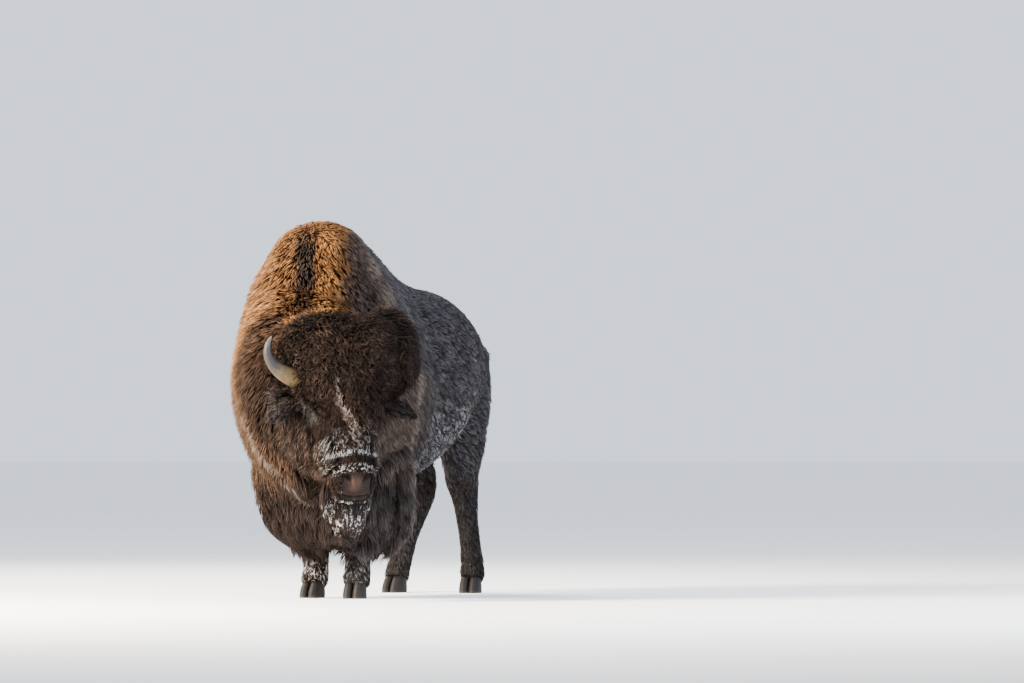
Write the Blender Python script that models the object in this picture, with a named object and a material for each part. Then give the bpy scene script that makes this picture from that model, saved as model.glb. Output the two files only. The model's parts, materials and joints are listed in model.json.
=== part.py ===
"""A standing bison bull in winter coat, its head lowered and turned to its left.

The animal is modelled whole, out to the tips of its coat, as smooth lofts that one voxel
remesh joins. Region blocks then part it with thin cuts into trunk, neck, head and limbs.
Horns, eyes, ears, hooves and dewclaws are solids of their own, seated in cut sockets.

Metres, +Z up. The bull faces -Y and +X is its left. The origin is on the floor at the
centre of the whole model's box.
"""

import math

import bmesh
import bpy
import numpy as np
from mathutils import Matrix, Vector

# ---------------------------------------------------------------- driving dimensions
HUMP_HEIGHT = 1.89
GAP = 0.0006  # between two pieces that meet
SOCKET_GAP = 0.0016  # round a solid that is seated in another
VOXEL = 0.015
WHOLE_TRIANGLES = 3500
SMOOTH_PASSES = 5
RING_POINTS = 28
RINGS_BETWEEN = 4
UP = Vector((0, 0, 1))

HEAD_TURN = math.radians(49)  # to its left, from the body's heading
HEAD_PITCH = math.radians(68)  # the face below level
HEAD_ROLL = math.radians(3)
POLL = Vector((0.335, -0.70, 1.155))  # top of the skull, between the horns
HEAD_LENGTH = 0.665
NAPE_BEHIND_POLL = 0.115  # where head and neck part
EYE_RADIUS = 0.021
EYE_SEAT = (0.150, 0.225, -0.055)  # side, along the face, outwards from it

HORN_BASE = (0.140, 0.045, -0.035)
HORN_BASE_RADIUS = 0.052
HORN_SPREAD = 0.215  # from base to the outermost point, sideways
HORN_RISE = 0.215  # from base to tip, up the head
HORN_SWEEP = math.radians(128)
HORN_STEPS = 14

EAR_LENGTH = 0.19
EAR_WIDTH = 0.050
EAR_THICKNESS = 0.012

CORONET = 0.078  # height at which a leg ends and its hooves begin
HOOF_LENGTH = 0.135
HOOF_WIDTH = 0.064
HOOF_SPLIT = 0.008
DEWCLAW = (0.013, 0.012, 0.021)

FRONT_FEET = {"left": (0.130, -0.035), "right": (-0.130, 0.035)}
HIND_FEET = {"left": (0.190, 1.300), "right": (-0.210, 1.250)}
HIND_HOCKS = {"left": (0.110, 1.385), "right": (-0.125, 1.370)}
SIDES = {"left": 1, "right": -1}

COLOURS = {
    "dark_coat": (0.050, 0.032, 0.024),
    "brown_coat": (0.085, 0.050, 0.032),
    "head_coat": (0.035, 0.022, 0.016),
    "horn": (0.160, 0.135, 0.105),
    "hoof": (0.020, 0.018, 0.017),
    "eye": (0.012, 0.008, 0.006),
}
ROUGHNESS = {"horn": 0.35, "hoof": 0.5, "eye": 0.08}


# ---------------------------------------------------------------- small tools
def clear_scene():
    for thing in list(bpy.data.objects):
        bpy.data.objects.remove(thing)


def material(name):
    found = bpy.data.materials.get(name)
    if found:
        return found
    made = bpy.data.materials.new(name)
    made.use_nodes = True
    shader = made.node_tree.nodes["Principled BSDF"]
    shader.inputs["Base Color"].default_value = (*COLOURS[name], 1)
    shader.inputs["Roughness"].default_value = ROUGHNESS.get(name, 0.85)
    shader.inputs["Metallic"].default_value = 0.0
    return made


def add_object(name, mesh, finish=None, helper=False):
    thing = bpy.data.objects.new(name, mesh)
    bpy.context.scene.collection.objects.link(thing)
    if finish:
        mesh.materials.clear()
        mesh.materials.append(material(finish))
        mesh.shade_smooth()
    if helper:
        thing.hide_render = True
        thing.display_type = "WIRE"
    return thing


def eased(stations, steps=RINGS_BETWEEN):
    """Stations with smooth in-between ones, on a Catmull-Rom curve through all their values."""
    rows = [np.array(s, float) for s in stations]
    rows = [2 * rows[0] - rows[1], *rows, 2 * rows[-1] - rows[-2]]
    made = []
    for a, b, c, d in zip(rows, rows[1:], rows[2:], rows[3:]):
        for k in range(steps):
            t = k / steps
            curve = 2 * b + (c - a) * t + (2 * a - 5 * b + 4 * c - d) * t**2
            made.append((curve + (3 * b - a - 3 * c + d) * t**3) / 2)
    made.append(rows[-2])
    return made


def section(centre, side, up, half_width, rise, drop, crown=2.0, keel=2.0):
    """One ring: a superellipse whose upper and lower halves have their own height and squareness."""
    points = []
    for k in range(RING_POINTS):
        c = math.cos(math.tau * k / RING_POINTS)
        s = math.sin(math.tau * k / RING_POINTS)
        power = 2 / (crown if s >= 0 else keel)
        x = half_width * math.copysign(abs(c) ** power, c)
        z = (rise if s >= 0 else drop) * math.copysign(abs(s) ** power, s)
        points.append(Vector(centre) + side * x + up * z)
    return points


def add_loft(form, rings):
    """Rings joined into one closed tube, in the bmesh form."""
    loops = [[form.verts.new(p) for p in ring] for ring in rings]
    faces = [form.faces.new(loops[0]), form.faces.new(loops[-1])]
    for low, high in zip(loops, loops[1:]):
        for k, vertex in enumerate(low):
            after = (k + 1) % len(low)
            faces.append(form.faces.new((vertex, low[after], high[after], high[k])))
    bmesh.ops.recalc_face_normals(form, faces=faces)


def add_ball(form, centre, radii, turn=Matrix.Identity(3), detail=3):
    place = Matrix.Translation(centre) @ turn.to_4x4() @ Matrix.Diagonal((*radii, 1))
    made = bmesh.ops.create_icosphere(form, subdivisions=detail, radius=1, matrix=place)
    faces = {face for vertex in made["verts"] for face in vertex.link_faces}
    bmesh.ops.recalc_face_normals(form, faces=list(faces))


def mesh_of(form, name):
    mesh = bpy.data.meshes.new(name)
    form.to_mesh(mesh)
    form.free()
    return mesh


def head_turn():
    """Columns: the head's left side, the way its nose points, and out of its forehead."""
    heading = Vector((math.sin(HEAD_TURN), -math.cos(HEAD_TURN), 0))
    nose = heading * math.cos(HEAD_PITCH) - UP * math.sin(HEAD_PITCH)
    left = UP.cross(heading).normalized()
    left = Matrix.Rotation(HEAD_ROLL, 3, nose) @ left
    forehead = nose.cross(left)
    return Matrix((left, nose, forehead)).transposed()


HEAD = head_turn()


def on_head(side, along, out):
    return POLL + HEAD @ Vector((side, along, out))


# ---------------------------------------------------------------- the body's forms
def add_trunk(form):
    """From chest to rump. Each row: y, top, widest level, bottom, half width, crown, keel."""
    rows = [
        (-0.600, 1.480, 1.05, 0.64, 0.235, 2.1, 2.0),
        (-0.520, 1.680, 1.06, 0.57, 0.330, 2.1, 2.0),
        (-0.390, 1.825, 1.06, 0.50, 0.405, 2.0, 2.0),
        (-0.220, HUMP_HEIGHT, 1.06, 0.48, 0.440, 1.9, 2.0),
        (-0.020, HUMP_HEIGHT - 0.018, 1.05, 0.48, 0.445, 1.75, 2.0),
        (0.180, 1.805, 1.03, 0.50, 0.430, 1.65, 2.1),
        (0.400, 1.700, 1.02, 0.53, 0.415, 1.65, 2.2),
        (0.620, 1.615, 1.03, 0.57, 0.402, 1.8, 2.2),
        (0.850, 1.568, 1.06, 0.64, 0.378, 1.9, 2.1),
        (1.050, 1.555, 1.10, 0.73, 0.342, 1.95, 2.0),
        (1.240, 1.520, 1.12, 0.83, 0.305, 1.95, 2.0),
        (1.400, 1.445, 1.12, 0.90, 0.255, 1.95, 2.0),
        (1.500, 1.360, 1.12, 0.96, 0.195, 2.0, 2.0),
        (1.560, 1.260, 1.12, 1.01, 0.120, 2.0, 2.0),
        (1.580, 1.190, 1.12, 1.05, 0.060, 2.0, 2.0),
    ]
    rings = []
    for y, top, middle, bottom, half, crown, keel in eased(rows):
        centre = (0, y, middle)
        ring = section(centre, Vector((1, 0, 0)), UP, half, top - middle, middle - bottom, crown, keel)
        rings.append(ring)
    add_loft(form, rings)


def add_neck(form):
    """From the shoulders round to the ruff behind the horns: x, y, z, turn, half width, rise, drop."""
    rows = [
        (0.000, -0.300, 1.08, 0, 0.410, 0.66, 0.60),
        (0.040, -0.430, 1.07, 16, 0.405, 0.62, 0.61),
        (0.110, -0.540, 1.06, 30, 0.390, 0.52, 0.60),
        (0.185, -0.620, 1.05, 40, 0.370, 0.430, 0.56),
        (0.250, -0.685, 1.05, 48, 0.325, 0.34, 0.48),
        (0.300, -0.735, 1.03, 49, 0.240, 0.26, 0.36),
    ]
    rings = []
    for x, y, z, turn, half, rise, drop in eased(rows):
        side = Vector((math.cos(math.radians(turn)), math.sin(math.radians(turn)), 0))
        rings.append(section((x, y, z), side, UP, half, rise, drop, 1.9, 1.9))
    add_loft(form, rings)


def add_head(form):
    """Skull and muzzle. Each row: along the face, half width, forehead rise, jaw drop, squareness."""
    rows = [
        (-0.060, 0.130, 0.000, 0.20, 2.0),
        (0.000, 0.185, 0.030, 0.26, 2.1),
        (0.080, 0.205, 0.045, 0.32, 2.1),
        (0.160, 0.195, 0.045, 0.34, 2.1),
        (0.240, 0.168, 0.040, 0.33, 2.1),
        (0.330, 0.142, 0.036, 0.295, 2.1),
        (0.420, 0.122, 0.030, 0.250, 2.2),
        (0.510, 0.112, 0.020, 0.210, 2.4),
        (0.590, 0.112, 0.010, 0.190, 2.6),
        (0.640, 0.100, -0.008, 0.180, 2.6),
        (HEAD_LENGTH + 0.010, 0.070, -0.035, 0.155, 2.4),
    ]
    rings = []
    for along, half, top, jaw, square in eased(rows):
        middle = (top - jaw) / 2
        rise = (top + jaw) / 2
        centre = on_head(0, along, middle)
        rings.append(section(centre, HEAD.col[0], HEAD.col[2], half, rise, rise, square, square))
    add_loft(form, rings)


def add_hair_masses(form):
    """The mop on the forehead, the ruff at the cheeks, the beard and the bib of the chest."""
    mop = [
        ((-0.04, -0.09, -0.01), (0.285, 0.215, 0.175)),
        ((0.00, 0.04, 0.02), (0.245, 0.240, 0.160)),
        ((0.15, -0.02, -0.01), (0.215, 0.235, 0.180)),
        ((0.02, 0.18, 0.03), (0.165, 0.220, 0.110)),
    ]
    for seat, radii in mop:
        add_ball(form, on_head(*seat), radii, HEAD)
    beard = [
        (0.110, 0.090, 0.62),
        (0.125, 0.105, 0.50),
        (0.110, 0.095, 0.42),
        (0.075, 0.070, 0.33),
        (0.035, 0.035, 0.25),
    ]
    chin = on_head(0.01, 0.60, -0.165)
    side = Vector((math.cos(HEAD_TURN), math.sin(HEAD_TURN), 0))
    fore = side.cross(UP)
    rings = []
    for half, depth, z in eased(beard):
        rings.append(section(Vector((chin.x, chin.y, z)), side, fore, half, depth, depth))
    add_loft(form, rings)
    bib = [
        (0.04, -0.38, 0.88, 0.350, 0.260),
        (0.04, -0.38, 0.66, 0.335, 0.260),
        (0.01, -0.31, 0.49, 0.305, 0.235),
        (-0.02, -0.22, 0.36, 0.255, 0.180),
        (-0.03, -0.18, 0.27, 0.185, 0.110),
    ]
    rings = []
    for x, y, z, half, depth in eased(bib):
        rings.append(section((x, y, z), Vector((1, 0, 0)), Vector((0, 1, 0)), half, depth, depth))
    add_loft(form, rings)


def add_limb(form, rows):
    """A limb down its own path. Each row: x, y, z, half width, half depth."""
    rows = eased(rows)
    rings = []
    for k, (x, y, z, half, depth) in enumerate(rows):
        before = Vector(rows[max(k - 1, 0)][:3])
        after = Vector(rows[min(k + 1, len(rows) - 1)][:3])
        down = (after - before).normalized()
        fore = down.cross(Vector((1, 0, 0))).normalized()
        side = fore.cross(down)
        rings.append(section((x, y, z), side, fore, half, depth, depth))
    add_loft(form, rings)


def add_front_leg(form, side):
    s = SIDES[side]
    x, y = FRONT_FEET[side]
    add_limb(
        form,
        [
            (s * 0.200, y + 0.060, 0.90, 0.130, 0.200),
            (s * 0.190, y + 0.055, 0.70, 0.155, 0.195),
            (s * 0.178, y + 0.045, 0.54, 0.165, 0.190),
            (s * 0.168, y + 0.035, 0.41, 0.160, 0.180),
            (s * 0.160, y + 0.025, 0.315, 0.138, 0.155),
            (s * 0.142, y + 0.015, 0.245, 0.078, 0.088),
            (x, y + 0.012, 0.200, 0.060, 0.065),
            (x, y + 0.010, 0.145, 0.064, 0.070),
            (x, y - 0.002, 0.100, 0.066, 0.072),
            (x, y - 0.016, 0.060, 0.070, 0.080),
        ],
    )


def add_hind_leg(form, side):
    s = SIDES[side]
    x, y = HIND_FEET[side]
    hock_x, hock_y = HIND_HOCKS[side]
    add_limb(
        form,
        [
            (s * 0.150, 1.240, 1.26, 0.130, 0.240),
            (s * 0.165, 1.210, 1.04, 0.142, 0.280),
            (s * 0.170, 1.200, 0.87, 0.128, 0.240),
            (s * 0.160, 1.255, 0.72, 0.112, 0.185),
            (hock_x, hock_y - 0.030, 0.60, 0.084, 0.134),
            (hock_x, hock_y, 0.515, 0.069, 0.098),
            (hock_x + (x - hock_x) * 0.3, hock_y + (y - hock_y) * 0.25, 0.41, 0.048, 0.060),
            (hock_x + (x - hock_x) * 0.7, hock_y + (y - hock_y) * 0.65, 0.27, 0.044, 0.052),
            (x - (x - hock_x) * 0.1, y + 0.016, 0.155, 0.056, 0.062),
            (x, y + 0.000, 0.105, 0.060, 0.066),
            (x, y - 0.016, 0.060, 0.068, 0.078),
        ],
    )


def add_tail(form):
    """Hanging clear of the rump: y, z, radius."""
    rows = [
        (1.430, 1.370, 0.060),
        (1.530, 1.345, 0.056),
        (1.610, 1.265, 0.040),
        (1.645, 1.120, 0.031),
        (1.655, 0.980, 0.034),
        (1.655, 0.860, 0.050),
        (1.652, 0.740, 0.048),
        (1.650, 0.640, 0.028),
    ]
    add_limb(form, [(0, y, z, r, r) for y, z, r in rows])


def whole_animal():
    """Every form of flesh and coat as one closed, smoothed surface, thinned to few triangles."""
    form = bmesh.new()
    add_trunk(form)
    add_neck(form)
    add_head(form)
    add_hair_masses(form)
    for side in SIDES:
        add_front_leg(form, side)
        add_hind_leg(form, side)
    add_tail(form)
    whole = add_object("whole_animal", mesh_of(form, "whole_animal"), helper=True)
    joining = whole.modifiers.new("joined", "REMESH")
    joining.mode = "VOXEL"
    joining.voxel_size = VOXEL
    smoothing = whole.modifiers.new("smoothed", "SMOOTH")
    smoothing.iterations = SMOOTH_PASSES
    graph = bpy.context.evaluated_depsgraph_get()
    quads = len(whole.evaluated_get(graph).data.polygons)
    thinning = whole.modifiers.new("thinned", "DECIMATE")
    thinning.ratio = WHOLE_TRIANGLES / (2 * quads)
    graph = bpy.context.evaluated_depsgraph_get()
    mesh = bpy.data.meshes.new_from_object(whole.evaluated_get(graph))
    bpy.data.objects.remove(whole)
    return mesh


# ---------------------------------------------------------------- region blocks
def grown_outline(outline, by):
    """A convex plan outline, anticlockwise, with every edge moved outwards."""
    corners = [Vector(p) for p in outline]
    made = []
    for k, corner in enumerate(corners):
        before = corner - corners[k - 1]
        after = corners[(k + 1) % len(corners)] - corner
        normal_a = Vector((before.y, -before.x)).normalized()
        normal_b = Vector((after.y, -after.x)).normalized()
        half = (normal_a + normal_b) / (1 + normal_a.dot(normal_b))
        made.append(corner + half * by)
    return made


def block(name, outline, floor, roof, by):
    """An upright block over a plan outline. roof is a height, or heights at the outline's corners."""
    roofs = roof if isinstance(roof, (list, tuple)) else [roof] * len(outline)
    form = bmesh.new()
    plan = grown_outline(outline, by)
    low = [form.verts.new((p.x, p.y, floor - by)) for p in plan]
    high = [form.verts.new((p.x, p.y, r + by)) for p, r in zip(plan, roofs)]
    form.faces.new(low)
    form.faces.new(high)
    for k, vertex in enumerate(low):
        after = (k + 1) % len(low)
        form.faces.new((vertex, low[after], high[after], high[k]))
    bmesh.ops.recalc_face_normals(form, faces=form.faces)
    return add_object(name, mesh_of(form, name), helper=True)


def body_regions():
    """Name, plan outline, floor and roof of every piece that is parted from the trunk."""
    heading = Vector((math.sin(HEAD_TURN), -math.cos(HEAD_TURN)))
    across = Vector((-heading.y, heading.x))
    nape = Vector((POLL.x, POLL.y)) - heading * NAPE_BEHIND_POLL
    far = 1.2
    nape_right = nape - across * far
    head = [nape + across * far, nape_right, nape_right + heading * far]
    head.append(nape + across * far + heading * far)
    neck = [nape + across * 0.22, Vector((-0.9, -0.36)), nape_right]
    regions = {"head": (head, -0.1, 2.0), "neck": (neck, -0.1, 2.0)}
    knee, hock = 0.235, 0.47
    elbow_inner, elbow_outer = 0.50, 0.70
    stifle_front, stifle_back = 0.60, 1.08
    for side, s in SIDES.items():
        front = [(0.0, -0.24), (s * 0.5, -0.24), (s * 0.5, 0.30), (0.0, 0.30)]
        front_roof = [elbow_inner, elbow_outer, elbow_outer, elbow_inner]
        hind = [(0.0, 0.86), (s * 0.5, 0.86), (s * 0.5, 1.60), (0.0, 1.60)]
        hind_roof = [stifle_front, stifle_front, stifle_back, stifle_back]
        if s < 0:
            front.reverse()
            hind.reverse()
            front_roof.reverse()
            hind_roof.reverse()
        regions[f"foreleg_{side}"] = (front, knee, front_roof)
        regions[f"foreshank_{side}"] = (front, CORONET, knee)
        regions[f"thigh_{side}"] = (hind, hock, hind_roof)
        regions[f"hindshank_{side}"] = (hind, CORONET, hock)
    tail = [(-0.12, 1.600), (0.12, 1.600), (0.12, 1.80), (-0.12, 1.80)]
    regions["tail"] = (tail, 0.90, 1.60)
    regions["tail_tuft"] = (tail, 0.40, 0.90)
    return regions


def cut(thing, cutter, operation="DIFFERENCE"):
    step = thing.modifiers.new(f"cut_{cutter.name}", "BOOLEAN")
    step.operation = operation
    step.object = cutter


FINISHES = {"head": "head_coat", "neck": "brown_coat", "trunk": "brown_coat"}


def part_the_animal(mesh):
    """Each region's piece, and the trunk that is left when all regions are taken away."""
    pieces = {}
    trunk = add_object("trunk", mesh.copy(), "brown_coat")
    for name, (outline, floor, roof) in body_regions().items():
        piece = add_object(name, mesh.copy(), FINISHES.get(name, "dark_coat"))
        cut(piece, block(f"block_{name}", outline, floor, roof, -GAP / 2), "INTERSECT")
        floor = floor if floor > CORONET else -0.1
        cut(trunk, block(f"hollow_{name}", outline, floor, roof, GAP / 2))
        pieces[name] = piece
    pieces["trunk"] = trunk
    return pieces


# ---------------------------------------------------------------- separate solids
def horn_form(side, by):
    """Out from the forehead's side, then up and in: half of a flattened turn that tapers to a point."""
    s = SIDES[side]
    form = bmesh.new()
    path = []
    for k in range(HORN_STEPS + 1):
        t = k / HORN_STEPS
        sweep = t * HORN_SWEEP
        out = HORN_BASE[0] + HORN_SPREAD * math.sin(sweep) ** 0.9
        rise = HORN_RISE * (1 - math.cos(sweep)) / (1 - math.cos(HORN_SWEEP))
        dip = 0.028 * math.sin(math.pi * min(1, 2.2 * t))
        path.append(on_head(s * out, HORN_BASE[1] + dip - rise * 0.86, HORN_BASE[2] + rise * 0.42))
    path[0] -= (path[1] - path[0]).normalized() * by
    rings = []
    for k, point in enumerate(path):
        t = k / HORN_STEPS
        radius = HORN_BASE_RADIUS * (1 - t**1.6) ** 0.8 + 0.004 + by
        ahead = (path[min(k + 1, HORN_STEPS)] - path[max(k - 1, 0)]).normalized()
        across = ahead.cross(HEAD.col[2]).normalized()
        rings.append(section(point, across, across.cross(ahead), radius, radius, radius)[::2])
    add_loft(form, rings)
    return mesh_of(form, f"horn_{side}")


def ear_form(side, by):
    """A broad leaf, set behind and below the horn, drooping outwards."""
    s = SIDES[side]
    root = on_head(s * 0.190, 0.155, -0.110)
    tip = on_head(s * 0.375, 0.205, -0.070)
    ahead = (tip - root).normalized()
    face = HEAD.col[2].cross(ahead).cross(ahead).normalized()
    across = ahead.cross(face).normalized()
    form = bmesh.new()
    rows = [
        (-0.20 - by / EAR_LENGTH, 0.55, 1.2),
        (0.00, 0.62, 1.2),
        (0.25, 0.95, 1.0),
        (0.50, 1.00, 0.9),
        (0.80, 0.66, 0.8),
        (1.00 + by / EAR_LENGTH, 0.16, 0.7),
    ]
    rings = []
    for t, width, thickness in eased(rows, 2):
        centre = root + ahead * EAR_LENGTH * t - UP * 0.02 * t * t
        half, depth = EAR_WIDTH * width + by, EAR_THICKNESS * thickness + by
        rings.append(section(centre, across, face, half, depth, depth)[::2])
    add_loft(form, rings)
    return mesh_of(form, f"ear_{side}")


def eye_form(side, by):
    form = bmesh.new()
    s = SIDES[side]
    add_ball(form, on_head(s * EYE_SEAT[0], *EYE_SEAT[1:]), [EYE_RADIUS + by] * 3, detail=2)
    return mesh_of(form, f"eye_{side}")


def dewclaw_form(foot, claw, by):
    """A blunt knob on the back of the pastern."""
    x, y, turn = foot
    form = bmesh.new()
    place = Matrix.Rotation(turn, 3, "Z") @ Vector((claw * 0.026, 0.072, 0))
    radii = [size + by for size in DEWCLAW]
    add_ball(form, Vector((x, y, 0.118)) + place, radii, detail=1)
    return mesh_of(form, "dewclaw")


def hoof_form(foot, claw):
    """One of the two claws of a foot: a wall that slopes back to the coronet over a flat sole."""
    x, y, turn = foot
    form = bmesh.new()
    rows = [
        (0.000, 1.00, 1.00, 0.000),
        (0.012, 1.02, 1.01, 0.000),
        (0.045, 0.94, 0.92, 0.008),
        (CORONET - GAP / 2, 0.84, 0.78, 0.018),
    ]
    rings = []
    for z, width, length, back in rows:
        points = []
        for k in range(16):
            angle = math.tau * k / 16
            fore = -math.cos(angle)
            lean = 1 - 0.28 * max(0, -fore) ** 2
            half = HOOF_WIDTH / 2 * width * math.sin(angle) * lean
            inner = half * claw < 0
            across = half * (0.62 if inner else 1.0) + claw * (HOOF_WIDTH * 0.31 + HOOF_SPLIT / 2 + 0.001)
            along = HOOF_LENGTH / 2 * length * fore + back - 0.012
            spot = Matrix.Rotation(turn, 3, "Z") @ Vector((across, along, 0))
            points.append(Vector((x, y, z)) + spot)
        rings.append(points)
    add_loft(form, rings)
    return mesh_of(form, "hoof")


def seat(host, name, form, finish, *details):
    """A solid of its own, and the socket for it in the piece that carries it."""
    made = add_object(name, form(*details, 0.0), finish)
    cut(host, add_object(f"socket_{name}", form(*details, SOCKET_GAP), helper=True))
    return made


def add_separate_solids(pieces):
    for side in SIDES:
        seat(pieces["head"], f"horn_{side}", horn_form, "horn", side)
        seat(pieces["head"], f"eye_{side}", eye_form, "eye", side)
        seat(pieces["head"], f"ear_{side}", ear_form, "head_coat", side)
        feet = {"front": (*FRONT_FEET[side], 0.10), "hind": (*HIND_FEET[side], 0.16)}
        shanks = {"front": "foreshank", "hind": "hindshank"}
        for end, (x, y, splay) in feet.items():
            foot = (x, y - 0.016, SIDES[side] * splay)
            for claw, word in ((SIDES[side], "outer"), (-SIDES[side], "inner")):
                name = f"{end}_{side}_{word}"
                add_object(f"hoof_{name}", hoof_form(foot, claw), "hoof")
                host = pieces[f"{shanks[end]}_{side}"]
                seat(host, f"dewclaw_{name}", dewclaw_form, "hoof", foot, claw)


def centre_on_floor():
    """Moves everything so that the origin is under the centre of the model's box."""
    bpy.context.view_layer.update()
    graph = bpy.context.evaluated_depsgraph_get()
    corners = []
    for thing in bpy.data.objects:
        if not thing.hide_render:
            solid = thing.evaluated_get(graph)
            corners += [solid.matrix_world @ Vector(c) for c in solid.bound_box]
    low = Vector([min(c[k] for c in corners) for k in range(3)])
    high = Vector([max(c[k] for c in corners) for k in range(3)])
    shift = Vector(((low.x + high.x) / 2, (low.y + high.y) / 2, low.z))
    for thing in bpy.data.objects:
        thing.location -= shift
    print("origin moved by", tuple(round(v, 4) for v in shift))


def main():
    clear_scene()
    pieces = part_the_animal(whole_animal())
    add_separate_solids(pieces)
    centre_on_floor()


main()
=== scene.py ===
"""Looks for a life-size bison bull in winter coat.

One skin carries a coat of solid locks that follow its lie. Eyes, horns, hooves and
dewclaws are pieces of their own. Everything is in metres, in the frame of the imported
solids: the bull's body faces -Y, +X is its left and +Z is up.
"""

import sys

import json
import math

import bmesh
import bpy
import numpy as np
from mathutils import Matrix, Vector
from mathutils.bvhtree import BVHTree
from mathutils.kdtree import KDTree
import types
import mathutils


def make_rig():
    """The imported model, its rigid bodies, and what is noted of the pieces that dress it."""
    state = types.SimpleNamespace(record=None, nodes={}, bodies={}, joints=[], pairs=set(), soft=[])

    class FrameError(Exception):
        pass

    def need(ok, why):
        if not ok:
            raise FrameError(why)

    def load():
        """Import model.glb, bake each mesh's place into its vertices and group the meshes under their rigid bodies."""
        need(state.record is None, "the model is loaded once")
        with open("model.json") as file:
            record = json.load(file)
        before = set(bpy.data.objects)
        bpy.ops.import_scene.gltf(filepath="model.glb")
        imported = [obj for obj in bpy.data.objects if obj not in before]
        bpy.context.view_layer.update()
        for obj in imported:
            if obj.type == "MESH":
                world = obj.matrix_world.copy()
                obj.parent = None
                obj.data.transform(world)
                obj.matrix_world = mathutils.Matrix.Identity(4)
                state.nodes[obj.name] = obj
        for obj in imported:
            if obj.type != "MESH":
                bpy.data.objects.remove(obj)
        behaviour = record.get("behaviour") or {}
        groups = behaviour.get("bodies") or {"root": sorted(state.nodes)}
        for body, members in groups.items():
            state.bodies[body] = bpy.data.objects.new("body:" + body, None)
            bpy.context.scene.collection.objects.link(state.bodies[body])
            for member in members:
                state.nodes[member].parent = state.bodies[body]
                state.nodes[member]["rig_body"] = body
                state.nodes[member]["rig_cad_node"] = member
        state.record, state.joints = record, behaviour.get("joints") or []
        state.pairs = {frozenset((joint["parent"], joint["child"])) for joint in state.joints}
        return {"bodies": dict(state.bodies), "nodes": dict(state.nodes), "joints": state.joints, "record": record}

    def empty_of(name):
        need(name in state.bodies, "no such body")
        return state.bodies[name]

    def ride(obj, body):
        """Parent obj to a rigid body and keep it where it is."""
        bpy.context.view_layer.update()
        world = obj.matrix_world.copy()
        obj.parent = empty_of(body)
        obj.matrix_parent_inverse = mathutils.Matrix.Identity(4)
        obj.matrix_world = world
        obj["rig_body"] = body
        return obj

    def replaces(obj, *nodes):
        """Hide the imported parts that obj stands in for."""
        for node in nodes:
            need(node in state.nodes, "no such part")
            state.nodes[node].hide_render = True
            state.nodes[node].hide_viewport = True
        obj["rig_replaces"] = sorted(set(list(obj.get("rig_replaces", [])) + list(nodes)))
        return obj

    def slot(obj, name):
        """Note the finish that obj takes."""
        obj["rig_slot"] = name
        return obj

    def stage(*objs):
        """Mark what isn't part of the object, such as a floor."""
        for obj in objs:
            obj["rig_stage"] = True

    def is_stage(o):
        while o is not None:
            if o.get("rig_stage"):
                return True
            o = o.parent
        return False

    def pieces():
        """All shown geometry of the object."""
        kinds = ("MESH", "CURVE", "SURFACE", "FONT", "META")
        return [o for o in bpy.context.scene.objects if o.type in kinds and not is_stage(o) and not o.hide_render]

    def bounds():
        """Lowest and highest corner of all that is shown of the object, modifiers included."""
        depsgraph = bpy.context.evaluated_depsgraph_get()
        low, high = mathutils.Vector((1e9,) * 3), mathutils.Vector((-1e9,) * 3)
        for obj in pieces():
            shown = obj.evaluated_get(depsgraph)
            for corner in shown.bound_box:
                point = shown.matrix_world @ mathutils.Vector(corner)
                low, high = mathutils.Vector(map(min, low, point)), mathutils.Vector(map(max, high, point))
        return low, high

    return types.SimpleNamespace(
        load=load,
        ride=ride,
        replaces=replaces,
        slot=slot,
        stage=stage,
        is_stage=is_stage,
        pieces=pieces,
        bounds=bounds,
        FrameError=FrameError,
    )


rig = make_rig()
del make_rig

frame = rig.load()
CAD_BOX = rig.bounds()

bl_info = {
    "name": "Bison bull",
    "version": (1, 0, 0),
    "blender": (4, 5, 0),
    "location": "3D View > Sidebar > Bison",
    "description": "A standing bison bull in winter coat, piece by piece",
    "category": "Object",
}

# ---------------------------------------------------------------- the bull's own frame
UP = Vector((0, 0, 1))
ACROSS = Vector((1, 0, 0))
CENTRE = Vector((0.0903, 0.3599, 0.0))  # the model's origin, from between the front feet
HUMP_HEIGHT = 1.89
HEAD_TURN = math.radians(49)
HEAD_PITCH = math.radians(68)
HEAD_ROLL = math.radians(3)
POLL = Vector((0.335, -0.70, 1.155))
NAPE_BEHIND_POLL = 0.115
SIDES = {"left": 1, "right": -1}
FRONT_FEET = {"left": (0.130, -0.035), "right": (-0.130, 0.035)}
HIND_FEET = {"left": (0.190, 1.300), "right": (-0.210, 1.250)}
HIND_HOCKS = {"left": (0.110, 1.385), "right": (-0.125, 1.370)}
RING_POINTS = 28


def head_columns():
    """The head's left side, the way its nose points, and out of its forehead."""
    heading = Vector((math.sin(HEAD_TURN), -math.cos(HEAD_TURN), 0))
    nose = heading * math.cos(HEAD_PITCH) - UP * math.sin(HEAD_PITCH)
    left = Matrix.Rotation(HEAD_ROLL, 3, nose) @ UP.cross(heading).normalized()
    return left, nose, nose.cross(left), heading


LEFT, NOSE, FOREHEAD, HEADING = head_columns()
HEAD_AXES = np.array([LEFT, NOSE, FOREHEAD])
TO_LEFT, TO_NOSE, TO_FRONT = HEAD_AXES
TO_GROUND = np.array([0, 0, -1.0])
NAPE = POLL - HEADING * NAPE_BEHIND_POLL


def on_head(side, along, out):
    return POLL + LEFT * side + NOSE * along + FOREHEAD * out


def head_places(points):
    """Side, along and out of every point, in the head's own axes."""
    return (points - np.array(POLL)) @ HEAD_AXES.T


# ---------------------------------------------------------------- small numeric tools
def unit(vectors):
    return vectors / np.maximum(np.linalg.norm(vectors, axis=-1, keepdims=True), 1e-9)


def ease(value, low, high):
    """0 below low and 1 above high, smooth between; low may be the larger."""
    t = np.clip((value - low) / (high - low), 0.0, 1.0)
    return t * t * (3 - 2 * t)


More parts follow.
